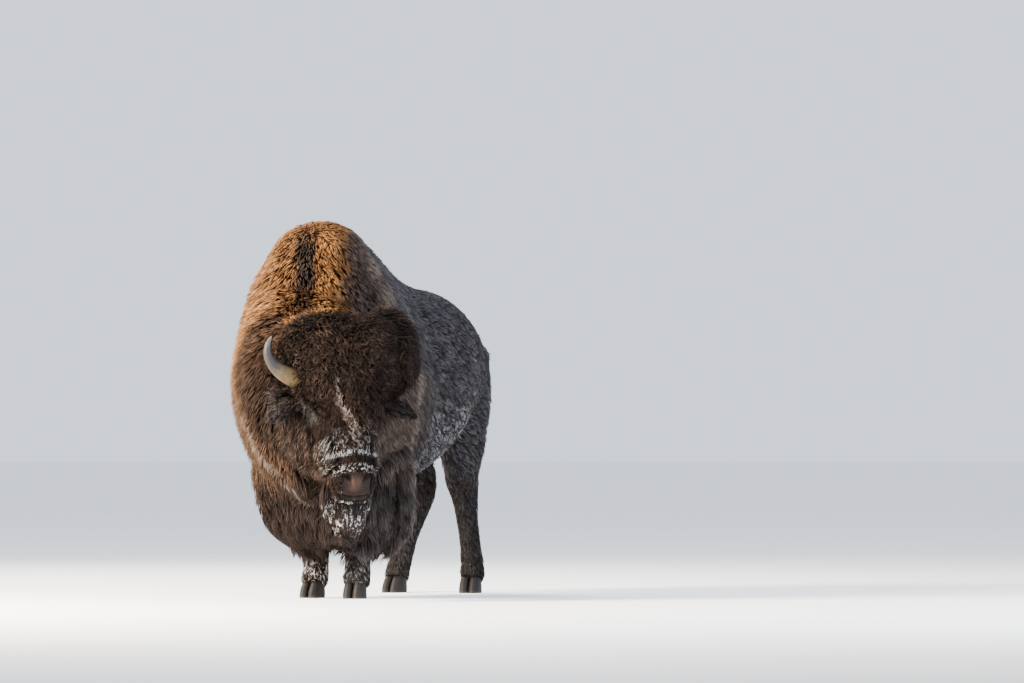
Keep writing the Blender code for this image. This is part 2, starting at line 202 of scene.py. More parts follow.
def bump(distance, reach):
    return np.exp(-((distance / reach) ** 2))


def eased(stations, steps=4):
    """Stations with smooth in-between ones, on a Catmull-Rom curve through all their values."""
    rows = [np.array(s, float) for s in stations]
    rows = [2 * rows[0] - rows[1], *rows, 2 * rows[-1] - rows[-2]]
    made = []
    for a, b, c, d in zip(rows, rows[1:], rows[2:], rows[3:]):
        for k in range(steps):
            t = k / steps
            curve = 2 * b + (c - a) * t + (2 * a - 5 * b + 4 * c - d) * t**2
            made.append((curve + (3 * b - a - 3 * c + d) * t**3) / 2)
    made.append(rows[-2])
    return made


def section(centre, side, up, half_width, rise, drop, crown=2.0, keel=2.0, count=RING_POINTS):
    """One ring: a superellipse whose upper and lower halves have their own height and squareness."""
    points = []
    for k in range(count):
        c = math.cos(math.tau * k / count)
        s = math.sin(math.tau * k / count)
        power = 2 / (crown if s >= 0 else keel)
        x = half_width * math.copysign(abs(c) ** power, c)
        z = (rise if s >= 0 else drop) * math.copysign(abs(s) ** power, s)
        points.append(Vector(centre) + side * x + up * z)
    return points


def loft(rings):
    """Rings joined into one closed tube, as a bmesh."""
    form = bmesh.new()
    loops = [[form.verts.new(p) for p in ring] for ring in rings]
    form.faces.new(loops[0])
    form.faces.new(loops[-1])
    for low, high in zip(loops, loops[1:]):
        for k, vertex in enumerate(low):
            after = (k + 1) % len(low)
            form.faces.new((vertex, low[after], high[after], high[k]))
    bmesh.ops.recalc_face_normals(form, faces=form.faces)
    return form


def ball(centre, radii):
    """An ellipsoid along the head's axes."""
    form = bmesh.new()
    axes = Matrix((-LEFT, NOSE, FOREHEAD)).transposed().to_4x4()
    place = Matrix.Translation(centre) @ axes @ Matrix.Diagonal((*radii, 1))
    bmesh.ops.create_icosphere(form, subdivisions=4, radius=1, matrix=place)
    return form


def limb(rows):
    """A limb down its own path. Each row: x, y, z, half width, half depth."""
    rows = eased(rows)
    rings = []
    for k, (x, y, z, half, depth) in enumerate(rows):
        before = Vector(rows[max(k - 1, 0)][:3])
        after = Vector(rows[min(k + 1, len(rows) - 1)][:3])
        down = (after - before).normalized()
        fore = down.cross(ACROSS).normalized()
        rings.append(section((x, y, z), fore.cross(down), fore, half, depth, depth))
    return loft(rings)


# ---------------------------------------------------------------- objects and materials
def new_object(name, data):
    thing = bpy.data.objects.new(name, data)
    bpy.context.scene.collection.objects.link(thing)
    return thing


def add_piece(name, mesh, finish, slot, *nodes):
    """A finished piece from a mesh in the bull's frame, moved to the model's origin."""
    mesh.transform(Matrix.Translation(-CENTRE))
    thing = new_object(name, mesh)
    mesh.materials.append(finish)
    mesh.shade_smooth()
    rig.ride(thing, "root")
    if nodes:
        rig.replaces(thing, *nodes)
    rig.slot(thing, slot)
    return thing


def choose(thing):
    """Makes this the only selected object, and the active one."""
    bpy.ops.object.select_all(action="DESELECT")
    thing.select_set(True)
    bpy.context.view_layer.objects.active = thing


def apply_modifiers(thing):
    choose(thing)
    for modifier in list(thing.modifiers):
        bpy.ops.object.modifier_apply(modifier=modifier.name)


class Sheet:
    """A node tree with short calls for the nodes that the materials and groups share."""

    def __init__(self, tree):
        self.tree = tree
        self.tree.nodes.clear()

    def node(self, kind, inputs=(), **settings):
        made = self.tree.nodes.new(kind)
        for name, value in settings.items():
            setattr(made, name, value)
        for key, value in dict(inputs).items():
            self.feed(made.inputs[key], value)
        return made

    def feed(self, socket, value):
        if isinstance(value, bpy.types.NodeSocket):
            self.tree.links.new(value, socket)
        else:
            socket.default_value = value

    def math(self, operation, a, b=0.0):
        return self.node("ShaderNodeMath", {0: a, 1: b}, operation=operation).outputs[0]

    def plus(self, a, b):
        return self.math("ADD", a, b)

    def minus(self, a, b):
        return self.math("SUBTRACT", a, b)

    def times(self, a, b):
        return self.math("MULTIPLY", a, b)

    def absolute(self, a):
        return self.math("ABSOLUTE", a)

    def off(self, value, middle):
        """How far the value is from its middle, either way."""
        return self.absolute(self.minus(value, middle))

    def vector(self, operation, a, b=(0, 0, 0)):
        made = self.node("ShaderNodeVectorMath", {0: a, 1: b}, operation=operation)
        return made.outputs["Value" if operation in ("DOT_PRODUCT", "LENGTH") else "Vector"]

    def gap(self, place, middle):
        return self.vector("SUBTRACT", place, tuple(middle))

    def dot(self, a, b):
        return self.vector("DOT_PRODUCT", a, b)

    def scaled(self, vector, by):
        return self.node("ShaderNodeVectorMath", {0: vector, 3: by}, operation="SCALE").outputs[0]

    def parts(self, vector):
        return tuple(self.node("ShaderNodeSeparateXYZ", {0: vector}).outputs)

    def all_of(self, *masks):
        made = masks[0]
        for mask in masks[1:]:
            made = self.times(made, mask)
        return made

    def any_of(self, *masks):
        made = masks[0]
        for mask in masks[1:]:
            made = self.math("MAXIMUM", made, mask)
        return made

    def step(self, value, low, high, first=0.0, last=1.0):
        made = self.node("ShaderNodeMapRange", {0: value, 1: low, 2: high, 3: first, 4: last})
        made.interpolation_type = "SMOOTHSTEP"
        return made.outputs[0]

    def mix(self, share, a, b):
        made = self.node("ShaderNodeMix", data_type="RGBA")
        self.feed(made.inputs[0], share)
        self.feed(made.inputs[6], a)
        self.feed(made.inputs[7], b)
        return made.outputs[2]

    def noise(self, place, scale, detail=3.0, rough=0.55):
        inputs = {"Vector": place, "Scale": scale, "Detail": detail, "Roughness": rough}
        return self.node("ShaderNodeTexNoise", inputs).outputs[0]

    def attribute(self, name):
        return self.node("ShaderNodeAttribute", attribute_name=name).outputs["Fac"]

    def spot(self):
        """The place on the piece, in metres from the model's origin."""
        return self.node("ShaderNodeTexCoord").outputs["Object"]

    def markings(self, colours, along, tone):
        made = self.node("ShaderNodeGroup", node_tree=markings_group(colours))
        self.feed(made.inputs["Along"], along)
        self.feed(made.inputs["Tone"], tone)
        return made

    def relief(self, height, strength, distance):
        inputs = {"Height": height, "Strength": strength, "Distance": distance}
        return self.node("ShaderNodeBump", inputs).outputs[0]


def rgba(colour):
    return (*colour[:3], 1.0)


PUPIL = (0.004, 0.003, 0.002, 1.0)
EYE_WHITE = (0.010, 0.006, 0.005, 1.0)


def in_head_axes(s, place):
    """Side, along and out of a place, in the head's own axes."""
    from_poll = s.gap(place, POLL)
    return [s.dot(from_poll, tuple(axis)) for axis in (LEFT, NOSE, FOREHEAD)]


def beside_line(s, place, middle, way):
    """How far a place is from the middle of a line, along it and off it."""
    gap = s.gap(place, middle)
    over = s.dot(gap, tuple(Vector(way).normalized()))
    off = s.math("SQRT", s.minus(s.dot(gap, gap), s.times(over, over)))
    return s.absolute(over), off


def behind_shoulder(s, y, z):
    """How far back a place is; the cape reaches further back low down than on the hump."""
    return s.plus(y, s.step(z, 1.05, 1.45, 0.0, 0.26))


def head_mask(s, place):
    z = s.parts(place)[2]
    ahead = s.dot(s.gap(place, NAPE), tuple(HEADING))
    return s.all_of(s.step(ahead, -0.03, 0.04), s.step(z, 1.62, 1.50))


def ruff_mask(s, place):
    """The dark hair round the head, and painted shadow behind and under the near horn."""
    z = s.parts(place)[2]
    round_head = s.vector("MULTIPLY", s.gap(place, on_head(-0.02, 0.06, -0.10)), (1.0, 1.0, 1.25))
    ruff = s.all_of(s.step(s.vector("LENGTH", round_head), 0.54, 0.43), s.step(z, 1.40, 1.24))
    # Painted shadow behind and under the near horn and the mop.
    behind_horn = s.vector("MULTIPLY", s.gap(place, (-0.06, -0.75, 1.19)), (1.0, 0.5, 0.95))
    return s.any_of(ruff, s.step(s.vector("LENGTH", behind_horn), 0.25, 0.17))


def coat_areas(s, body, place, head, colours):
    """Each area of the coat as mask, root colour and tip colour, the later ones over the earlier."""
    x, y, z = s.parts(place)
    side, down_face, out = in_head_axes(s, place)
    behind = behind_shoulder(s, y, z)
    cape = s.all_of(s.step(z, 0.92, 1.26), s.step(behind, 0.30, 0.14))
    rear = s.step(behind, 0.04, 0.36)
    low = s.step(z, 0.66, 0.46)
    crest = s.all_of(s.step(s.absolute(x), 0.10, 0.02), s.step(y, -0.02, 0.2), s.step(z, 1.1, 1.4))
    bend = s.times(s.math("MAXIMUM", s.minus(-0.27, y), 0.0), 0.42)
    off_middle = s.minus(s.parts(body)[0], s.minus(bend, 0.035))
    stripe = s.all_of(
        s.step(s.absolute(off_middle), 0.076, 0.030),
        s.step(y, -0.12, -0.24),
        s.step(z, 1.86, 1.79),
        s.step(s.off(z, 1.655), 0.18, 0.07, 0.60, 1.0),
    )
    ears = s.all_of(
        s.step(s.absolute(side), 0.26, 0.31),
        s.step(s.off(down_face, 0.19), 0.13, 0.08),
        s.step(s.off(out, -0.09), 0.09, 0.05),
    )
    cheek = s.all_of(head, s.step(out, -0.08, -0.16), s.step(z, 0.52, 0.64))
    # Painted shade: the bull's left front, away from the key light, is made darker and greyer; its colours also carry
    # frost.
    shaded = s.all_of(s.step(s.plus(x, s.times(y, 0.45)), 0.01, 0.10), 0.85)
    lobe = s.all_of(cape, s.step(s.off(off_middle, 0.092), 0.090, 0.055), s.step(y, 0.0, -0.2), 0.8)
    return (
        (cape, colours.cape, colours.cape_tips),
        (lobe, colours.gold, colours.gold_tips),
        (shaded, colours.far_cape, colours.far_cape_tips),
        # The rear's grey colours are partly frost and partly painted cool shade.
        (rear, colours.flank, colours.flank_tips),
        (crest, colours.dark, colours.dark_tips),
        (stripe, colours.dark, colours.dark_tips),
        # Dark hair round the head, with painted shadow behind the near horn.
        (s.times(ruff_mask(s, place), 0.9), colours.head, colours.head_tips),
        (head, colours.head, colours.head_tips),
        (cheek, colours.cheek, colours.cheek_tips),
        (ears, colours.cheek, colours.legs_tips),
        (low, colours.dark, colours.dark_tips),
        # Painted cool shade: low down on the shaded left front and on the rear, the greyer legs colour stands in for
        # shade.
        (s.times(low, s.any_of(shaded, rear)), colours.legs, colours.legs_tips),
    )


def around_the_eyes(s, colour, head_place, along, tone, colours):
    """Grey fur behind and below each eye, and the dark socket: dark fur and skin, with painted shadow from the brow.
    """
    hx, hy, hz = head_place
    beside_head = s.node("ShaderNodeCombineXYZ", {0: s.absolute(hx), 1: hy, 2: hz}).outputs[0]
    over, off = beside_line(s, beside_head, (0.183, 0.214, -0.078), (0.52, -0.83, 0.17))
    grey = s.all_of(s.step(over, 0.090, 0.050), s.step(off, 0.050, 0.022), 0.8)
    grey = s.all_of(grey, s.step(tone, 0.0, 0.7, 0.3, 1.0), s.step(along, 0.0, 0.7))
    colour = s.mix(grey, colour, rgba(colours.pouch))
    # The socket: dark fur and skin round the eye, with painted shadow from the brow over it.
    over, off = beside_line(s, beside_head, (0.130, 0.224, -0.026), (-0.56, 0.76, 0.33))
    socket = s.all_of(s.step(over, 0.068, 0.050), s.step(off, 0.030, 0.020), 0.85)
    return s.mix(socket, colour, rgba([0.45 * c for c in colours.head]))


def pale_ends(s, body, place, head_place, grains, tone):
    """Pale strands down the brow, and painted sunlit highlights along the edges of ruff and cape."""
    x, y, z = s.parts(place)
    hx, hy, hz = head_place
    wander = s.times(s.minus(s.noise(body, 20.0, 2.0), 0.5), 0.05)
    below = s.math("MAXIMUM", s.minus(hy, 0.12), 0.0)
    curve = s.minus(s.times(s.times(below, below), 1.75), 0.090)
    beside_curve = s.absolute(s.plus(s.minus(hx, curve), wander))
    streak = s.all_of(
        s.step(s.minus(beside_curve, s.step(hy, 0.15, 0.36, 0.0, 0.006)), 0.013, 0.001),
        s.step(hy, 0.10, 0.17),
        s.step(hy, 0.41, 0.35),
        s.step(hz, -0.02, 0.03),
    )
    beside_second = s.minus(hx, s.times(s.minus(hy, 0.394), 0.78))
    second = s.all_of(
        s.step(s.absolute(s.plus(beside_second, wander)), 0.016, 0.003),
        s.step(hy, 0.33, 0.37),
        s.step(hy, 0.46, 0.43),
        s.step(hz, -0.03, 0.0),
    )
    # Painted highlight: a sunlit line along the ruff's edge.
    fringe = s.minus(s.plus(z, s.times(x, 1.25)), 0.615)
    ruff_edge = s.all_of(
        s.step(s.absolute(fringe), 0.040, 0.006),
        s.step(z, 0.92, 0.80),
        s.step(z, 0.38, 0.50),
        s.step(y, -0.40, -0.52),
        s.step(x, 0.16, 0.06),
    )
    # Painted highlight: the sunlit rear edge of the cape.
    behind = behind_shoulder(s, y, z)
    edge = s.all_of(s.step(s.off(behind, 0.11), 0.070, 0.015), s.step(z, 1.76, 1.60), s.step(x, 0.05, 0.2))
    return s.any_of(
        s.all_of(streak, s.step(grains, 0.50, 0.85), 0.80),
        s.all_of(second, s.step(grains, 0.50, 0.80), 0.6),
        s.all_of(ruff_edge, s.step(tone, 0.15, 0.7), 0.5),
        s.all_of(edge, s.step(tone, 0.1, 0.7), 0.35),
    )


def rime(s, body, place, head_place, fine, grains, along, tone):
    """Frost on nose, chin, shins, lower flank and the fold of the thigh."""
    x, y, z = s.parts(place)
    hx, hy, hz = head_place
    across = s.absolute(hx)
    flare = s.step(hy, 0.36, 0.52, 0.25, 0.15)
    on_muzzle = s.all_of(s.step(hz, -0.13, -0.05), s.step(s.minus(across, flare), 0.03, -0.03))
    sides = s.step(across, 0.02, 0.09, 0.35, 1.0)
    bridge = s.all_of(on_muzzle, s.step(hy, 0.31, 0.42), s.step(hy, 0.48, 0.46), sides)
    band = s.all_of(on_muzzle, s.step(s.off(hy, 0.462), 0.020, 0.006))
    nose_top = s.all_of(s.step(hz, -0.10, -0.05), s.step(s.off(hy, 0.540), 0.028, 0.010))
    cheek_tips = s.all_of(
        s.step(across, 0.10, 0.15), s.step(hy, 0.34, 0.42), s.step(hy, 0.60, 0.54), s.step(hz, -0.20, -0.12)
    )
    chin = s.all_of(
        s.step(hy, 0.625, 0.665), s.step(across, 0.15, 0.09), s.step(z, 0.28, 0.40), s.step(hz, -0.36, -0.26)
    )
    flank = s.all_of(
        s.step(y, 0.20, 0.40),
        s.step(y, 1.08, 0.92),
        s.step(z, 1.02, 0.90),
        s.step(z, 0.50, 0.62),
        s.step(x, -0.2, 0.25, 0.3, 1.0),
    )
    fold = s.all_of(s.step(s.off(y, 0.98), 0.07, 0.01), s.step(z, 1.34, 1.18), s.step(z, 0.62, 0.72))
    shin = s.all_of(s.step(z, 0.22, 0.14), s.step(y, 0.3, 0.1), s.step(x, 0.1, -0.1, 0.35, 1.0))
    clusters = s.step(s.noise(body, 24.0, 2.0), 0.42, 0.56)
    crumbs = s.plus(s.plus(fine, s.times(tone, 0.25)), s.step(z, 0.36, 0.48, 0.0, 0.05))
    web = s.step(s.noise(body, 26.0, 3.0), 0.47, 0.58)
    patches = s.step(s.noise(body, 11.0, 3.0), 0.40, 0.60)
    frost = s.any_of(
        s.all_of(bridge, s.step(grains, 0.74, 0.88), 0.42),
        s.all_of(band, s.step(grains, 0.64, 0.80), 0.8),
        s.all_of(nose_top, s.step(grains, 0.80, 0.86), 0.9),
        s.all_of(cheek_tips, s.step(grains, 0.82, 0.92), s.step(along, 0.4, 0.8), 0.5),
        s.all_of(chin, s.step(crumbs, 0.69, 0.72), clusters),
        s.all_of(flank, web, s.step(tone, 0.2, 0.7), 0.42),
        s.all_of(fold, patches, s.step(tone, 0.3, 0.8), s.step(x, 0.0, 0.2), 0.35),
        s.all_of(shin, s.step(grains, 0.76, 0.86), 0.8),
    )
    return s.times(frost, s.step(along, 0.2, 0.8))


def new_group(name, inputs, outputs):
    """An empty shader group. Inputs are (name, default) numbers, outputs (name, kind)."""
    tree = bpy.data.node_groups.new(name, "ShaderNodeTree")
    for label, default in inputs:
        made = tree.interface.new_socket(label, in_out="INPUT", socket_type="NodeSocketFloat")
        made.default_value = default
    for label, kind in outputs:
        tree.interface.new_socket(label, in_out="OUTPUT", socket_type=kind)
    return tree


def markings_group(colours):
    """The coat's colour at any place on the bull, for skin and hair alike.

    Along is 0 at a lock's root and 1 at its tip, and Tone is the lock's own chance number.
    """
    found = bpy.data.node_groups.get("bison_markings")
    if found:
        return found
    outputs = (("Color", "NodeSocketColor"), ("Frost", "NodeSocketFloat"))
    tree = new_group("bison_markings", (("Along", 0.3), ("Tone", 0.5)), outputs)
    s = Sheet(tree)
    given = s.node("NodeGroupInput").outputs
    along, tone = given["Along"], given["Tone"]
    body = s.vector("ADD", s.spot(), tuple(CENTRE))
    wander = s.node("ShaderNodeTexNoise", {"Vector": body, "Scale": 6.0, "Detail": 4.0}).outputs["Color"]
    place = s.vector("ADD", body, s.scaled(s.gap(wander, (0.5, 0.5, 0.5)), 0.16))
    head = head_mask(s, place)
    head_place = in_head_axes(s, body)

    root, tip = rgba(colours.shoulder), rgba(colours.shoulder_tips)
    for mask, of_root, of_tip in coat_areas(s, body, place, head, colours):
        root = s.mix(mask, root, rgba(of_root))
        tip = s.mix(mask, tip, rgba(of_tip))
    picked = s.minus(tone, s.times(head, 0.22))
    colour = s.mix(s.times(s.step(along, 0.25, 0.95), s.step(picked, 0.0, 0.8, 0.14, 1.0)), root, tip)

    hx, hy, _ = head_place
    # Painted shadow: the far side of the head, away from the key light, is darkened.
    far_side = s.all_of(head, s.step(hx, 0.14, 0.30), s.step(hy, -0.16, -0.02))
    # Random tone together with painted shade.
    shade = s.all_of(
        s.step(s.noise(body, 9.0, 4.0), 0.3, 0.72, 0.66, 1.28),
        # Painted shade: darker towards each lock's root, inside the coat.
        s.step(along, 0.0, 0.55, 0.56, 1.0),
        s.step(tone, 0.0, 1.0, 0.76, 1.22),
        s.step(far_side, 0.0, 1.0, 1.0, 0.65),
    )
    colour = around_the_eyes(s, s.scaled(colour, shade), head_place, along, tone, colours)
    fine = s.noise(body, 70.0, 3.0)
    grains = s.plus(fine, s.times(tone, 0.45))
    # Pale strands on the brow, and painted highlights on the edges of ruff and cape.
    cream = pale_ends(s, body, place, head_place, grains, tone)
    colour = s.mix(s.times(cream, s.step(along, 0.1, 0.7)), colour, rgba(colours.cream))
    frost = rime(s, body, place, head_place, fine, grains, along, tone)
    s.node("NodeGroupOutput", {"Color": s.mix(frost, colour, rgba(colours.frost)), "Frost": frost})
    return tree


def painted(name, paint, colours):
    """The named material, made on first use. paint gives its shader's inputs."""
    made = bpy.data.materials.get(name)
    if made is None:
        made = bpy.data.materials.new(name)
        made.use_nodes = True
        s = Sheet(made.node_tree)
        shader = s.node("ShaderNodeBsdfPrincipled", paint(s, colours))
        s.node("ShaderNodeOutputMaterial", {"Surface": shader.outputs[0]})
    return made


def coat_paint(s, colours):
    """Matt hair: the markings, lit softly."""
    marks = s.markings(colours, s.attribute("along"), s.attribute("tone"))
    rough = s.step(marks.outputs["Frost"], 0.0, 1.0, 0.72, 0.9)
    return {"Base Color": marks.outputs["Color"], "Roughness": rough, "Specular IOR Level": 0.06}


def skin_paint(s, colours):
    """Dark hide, darkened further as painted shade under the coat, with short lying fur as bump, and bare damp leather
    on nose, lips and lids.
    """
    # Along 0.28 takes the markings' darker root colour: painted shade under the coat.
    marks = s.markings(colours, 0.28, 0.4)
    spot, bare = s.spot(), s.attribute("bare")
    # The patch attribute marks painted sunlight on the leather between the nostrils.
    brown = s.step(s.plus(s.attribute("patch"), s.noise(spot, 45.0, 3.0)), 0.70, 1.60)
    leather = s.mix(brown, rgba(colours.nose), rgba(colours.nose_brown))
    stretched = s.node("ShaderNodeMapping", {"Vector": spot, "Scale": (260, 260, 60)}).outputs[0]
    hairs = s.noise(stretched, 1.0, 4.0)
    cells = s.node("ShaderNodeTexVoronoi", {"Vector": spot, "Scale": 190.0}, feature="F1")
    pebbles = s.minus(1.0, cells.outputs["Distance"])
    height = s.node("ShaderNodeMix", {0: bare, 2: hairs, 3: pebbles}).outputs[0]
    return {
        "Base Color": s.mix(bare, marks.outputs["Color"], leather),
        "Roughness": s.step(bare, 0.0, 1.0, 0.85, 0.55),
        "Normal": s.relief(height, 0.35, 0.002),
        "Specular IOR Level": 0.05,
    }


def eye_paint(s, colours):
    """Wet dark brown eye: a faint paler iris round a wide dark pupil."""
    iris = s.attribute("iris")
    threads = s.noise(s.spot(), 900.0, 2.0)
    brown = s.mix(threads, rgba(colours.eye), rgba([1.8 * c for c in colours.eye]))
    colour = s.mix(s.step(iris, 0.42, 0.50), PUPIL, brown)
    colour = s.mix(s.step(iris, 0.92, 1.02), colour, EYE_WHITE)
    return {"Base Color": colour, "Roughness": 0.12, "Specular IOR Level": 0.04}


def horn_paint(s, colours):
    """Keratin: ochre and flaky at the base, grey along the shaft, and a painted highlight making it pale towards the
    tip.
    """
    along, spot = s.attribute("along"), s.spot()
    grain = s.noise(spot, 120.0, 4.0)
    blotch = s.noise(spot, 28.0, 3.0)
    wander = s.plus(along, s.times(s.minus(blotch, 0.5), 0.25))
    colour = s.mix(s.step(wander, 0.34, 0.56), rgba(colours.horn_base), rgba(colours.horn))
    # Painted highlight: paler towards the tip.
    colour = s.mix(s.step(wander, 0.66, 0.98), colour, rgba(colours.horn_tip))
    rings = s.times(s.math("SINE", s.times(along, 150.0)), s.step(along, 0.45, 0.1))
    return {
        "Base Color": s.scaled(colour, s.step(grain, 0.3, 0.75, 0.70, 1.2)),
        "Roughness": s.step(wander, 0.2, 0.9, 0.68, 0.38),
        "Normal": s.relief(s.plus(s.times(grain, 0.8), s.times(rings, 0.35)), 0.6, 0.003),
        "Specular IOR Level": 0.16,
    }


def hoof_paint(s, colours):
    """Dark hoof wall with fine growth lines, chalky at the worn edge."""
    spot = s.spot()
    height = s.parts(spot)[2]
    grain = s.noise(spot, 90.0, 4.0)
    lines = s.math("SINE", s.times(s.plus(height, s.times(grain, 0.004)), 900.0))
    worn = s.step(s.plus(height, s.times(grain, 0.02)), 0.026, 0.008)
    colour = s.mix(worn, rgba(colours.hoof), rgba(colours.hoof_worn))
    return {
        "Base Color": s.scaled(colour, s.step(grain, 0.3, 0.75, 0.7, 1.25)),
        "Roughness": s.step(grain, 0.3, 0.7, 0.48, 0.66),
        "Normal": s.relief(s.plus(s.times(lines, 0.3), grain), 0.5, 0.002),
        "Specular IOR Level": 0.15,
    }


def floor_paint(s, _colours):
    blend = s.step(s.noise(s.spot(), 1.2, 3.0), 0.35, 0.65)
    return {"Base Color": s.mix(blend, (0.88, 0.88, 0.88, 1), (0.91, 0.91, 0.91, 1)), "Roughness": 0.9}


# ---------------------------------------------------------------- the skin
def trunk_form():
    """The solids' rows, each drawn in by the coat's depth there."""
    rows = [
        (-0.560, 1.480, 1.05, 0.68, 0.235, 2.1, 2.0, 0.060),
        (-0.485, 1.695, 1.06, 0.60, 0.322, 2.1, 2.0, 0.060),
        (-0.365, 1.845, 1.06, 0.52, 0.396, 2.05, 2.0, 0.055),
        (-0.205, HUMP_HEIGHT + 0.016, 1.06, 0.49, 0.425, 2.25, 2.0, 0.050),
        (-0.010, HUMP_HEIGHT - 0.004, 1.05, 0.49, 0.440, 1.85, 2.0, 0.050),
        (0.180, 1.815, 1.03, 0.51, 0.430, 1.65, 2.1, 0.046),
        (0.400, 1.715, 1.02, 0.54, 0.415, 1.65, 2.2, 0.036),
        (0.620, 1.632, 1.03, 0.58, 0.402, 1.8, 2.2, 0.024),
        (0.850, 1.584, 1.06, 0.65, 0.378, 1.9, 2.1, 0.019),
        (1.050, 1.570, 1.10, 0.73, 0.340, 1.95, 2.0, 0.017),
        (1.240, 1.530, 1.12, 0.83, 0.297, 1.95, 2.0, 0.017),
        (1.400, 1.448, 1.12, 0.90, 0.238, 1.95, 2.0, 0.017),
        (1.495, 1.360, 1.12, 0.96, 0.185, 2.0, 2.0, 0.017),
        (1.548, 1.260, 1.12, 1.01, 0.120, 2.0, 2.0, 0.017),
        (1.564, 1.190, 1.12, 1.05, 0.060, 2.0, 2.0, 0.012),
    ]
    rings = []
    for y, top, middle, bottom, half, crown, keel, depth in eased(rows):
        rise, drop = top - middle - depth, middle - bottom - depth
        rings.append(section((0, y, middle), ACROSS, UP, half - depth, rise, drop, crown, keel))
    return loft(rings)


def hump_form():
    """The full shoulders of the hump, over the trunk's own ridge."""
    rows = [
        (-0.440, 1.700, 0.150),
        (-0.350, 1.808, 0.235),
        (-0.210, 1.862, 0.276),
        (-0.080, 1.845, 0.245),
        (0.040, 1.785, 0.190),
        (0.160, 1.710, 0.120),
        (0.260, 1.640, 0.060),
    ]
    rings = []
    for y, top, half in eased(rows):
        rings.append(section((0, y, 1.50), ACROSS, UP, half, top - 1.50, 0.20, 2.5, 2.0))
    return loft(rings)


def neck_form():
    rows = [
        (0.000, -0.300, 1.08, 0, 0.350, 0.61, 0.53),
        (0.035, -0.400, 1.07, 16, 0.345, 0.56, 0.54),
        (0.095, -0.505, 1.06, 30, 0.330, 0.46, 0.53),
        (0.160, -0.580, 1.05, 40, 0.310, 0.37, 0.49),
        (0.220, -0.640, 1.05, 48, 0.265, 0.28, 0.41),
        (0.265, -0.690, 1.03, 49, 0.190, 0.20, 0.30),
    ]
    rings = []
    for x, y, z, turn, half, rise, drop in eased(rows):
        side = Vector((math.cos(math.radians(turn)), math.sin(math.radians(turn)), 0))
        rings.append(section((x, y, z), side, UP, half, rise, drop, 1.9, 1.9))
    return loft(rings)


def skull_form():
    """Skull, cheeks and muzzle in flesh: along the face, half width, forehead rise, jaw drop, squareness."""
    rows = [
        (-0.050, 0.110, -0.020, 0.16, 2.0),
        (0.000, 0.155, 0.008, 0.22, 2.1),
        (0.080, 0.175, 0.026, 0.28, 2.1),
        (0.160, 0.172, 0.032, 0.30, 2.1),
        (0.240, 0.157, 0.030, 0.30, 2.2),
        (0.330, 0.131, 0.025, 0.27, 2.2),
        (0.420, 0.111, 0.019, 0.23, 2.3),
        (0.480, 0.101, 0.014, 0.202, 2.4),
        (0.530, 0.105, 0.007, 0.188, 2.6),
        (0.575, 0.107, -0.014, 0.182, 2.6),
        (0.612, 0.100, -0.042, 0.178, 2.5),
        (0.640, 0.082, -0.070, 0.170, 2.4),
        (0.657, 0.048, -0.098, 0.155, 2.2),
    ]
    rings = []
    for along, half, top, jaw, square in eased(rows, 6):
        rise = (top + jaw) / 2
        rings.append(section(on_head(0, along, top - rise), LEFT, FOREHEAD, half, rise, rise, square, square))
    return loft(rings)


def mop_forms():
    """The hair's packed core over the forehead, under the locks."""
    cores = [
        ((-0.04, -0.09, -0.02), (0.240, 0.160, 0.130)),
        ((0.00, 0.04, 0.00), (0.205, 0.185, 0.125)),
        ((0.178, -0.02, 0.03), (0.180, 0.180, 0.130)),
        ((0.218, -0.13, -0.02), (0.152, 0.122, 0.115)),
        ((-0.17, -0.11, -0.09), (0.120, 0.120, 0.120)),
        ((0.02, 0.17, 0.01), (0.125, 0.160, 0.078)),
    ]
    return [ball(on_head(*seat), radii) for seat, radii in cores]


def beard_form():
    rows = [(0.095, 0.075, 0.62), (0.112, 0.085, 0.54), (0.090, 0.070, 0.45)]
    rows += [(0.045, 0.040, 0.37), (0.020, 0.018, 0.34)]
    chin = on_head(0.0, 0.58, -0.175)
    side = Vector((math.cos(HEAD_TURN), math.sin(HEAD_TURN), 0))
    fore = side.cross(UP)
    return loft([section(Vector((chin.x, chin.y, z)), side, fore, w, d, d) for w, d, z in eased(rows)])


def bib_form():
    rows = [
        (0.04, -0.36, 0.90, 0.295, 0.205),
        (0.04, -0.36, 0.68, 0.285, 0.205),
        (0.01, -0.30, 0.52, 0.262, 0.192),
        (-0.02, -0.22, 0.40, 0.240, 0.160),
        (-0.03, -0.19, 0.33, 0.205, 0.125),
        (-0.04, -0.16, 0.28, 0.125, 0.070),
    ]
    back = Vector((0, 1, 0))
    return loft([section((x, y, z), ACROSS, back, w, d, d) for x, y, z, w, d in eased(rows)])


def front_leg_form(side):
    s = SIDES[side]
    x, y = FRONT_FEET[side]
    wide = 0.020 if side == "left" else 0.0  # the weight rests on this leg, so its breeches bulge
    return limb(
        [
            (s * 0.200, y + 0.060, 0.90, 0.095, 0.160),
            (s * 0.190 + wide, y + 0.065, 0.70, 0.122 + wide, 0.168),
            (s * 0.180 + wide, y + 0.062, 0.54, 0.130 + wide, 0.168),
            (s * 0.172 + wide, y + 0.060, 0.42, 0.126 + wide, 0.165),
            (s * 0.164 + wide, y + 0.054, 0.345, 0.112 + wide, 0.146),
            (s * 0.150 + wide, y + 0.036, 0.295, 0.082 + wide / 2, 0.104),
            (s * 0.136, y + 0.014, 0.235, 0.056, 0.062),
            (x, y + 0.012, 0.190, 0.052, 0.058),
            (x, y + 0.010, 0.145, 0.053, 0.059),
            (x, y - 0.002, 0.105, 0.058, 0.064),
            (x, y - 0.012, 0.073, 0.060, 0.067),
        ]
    )


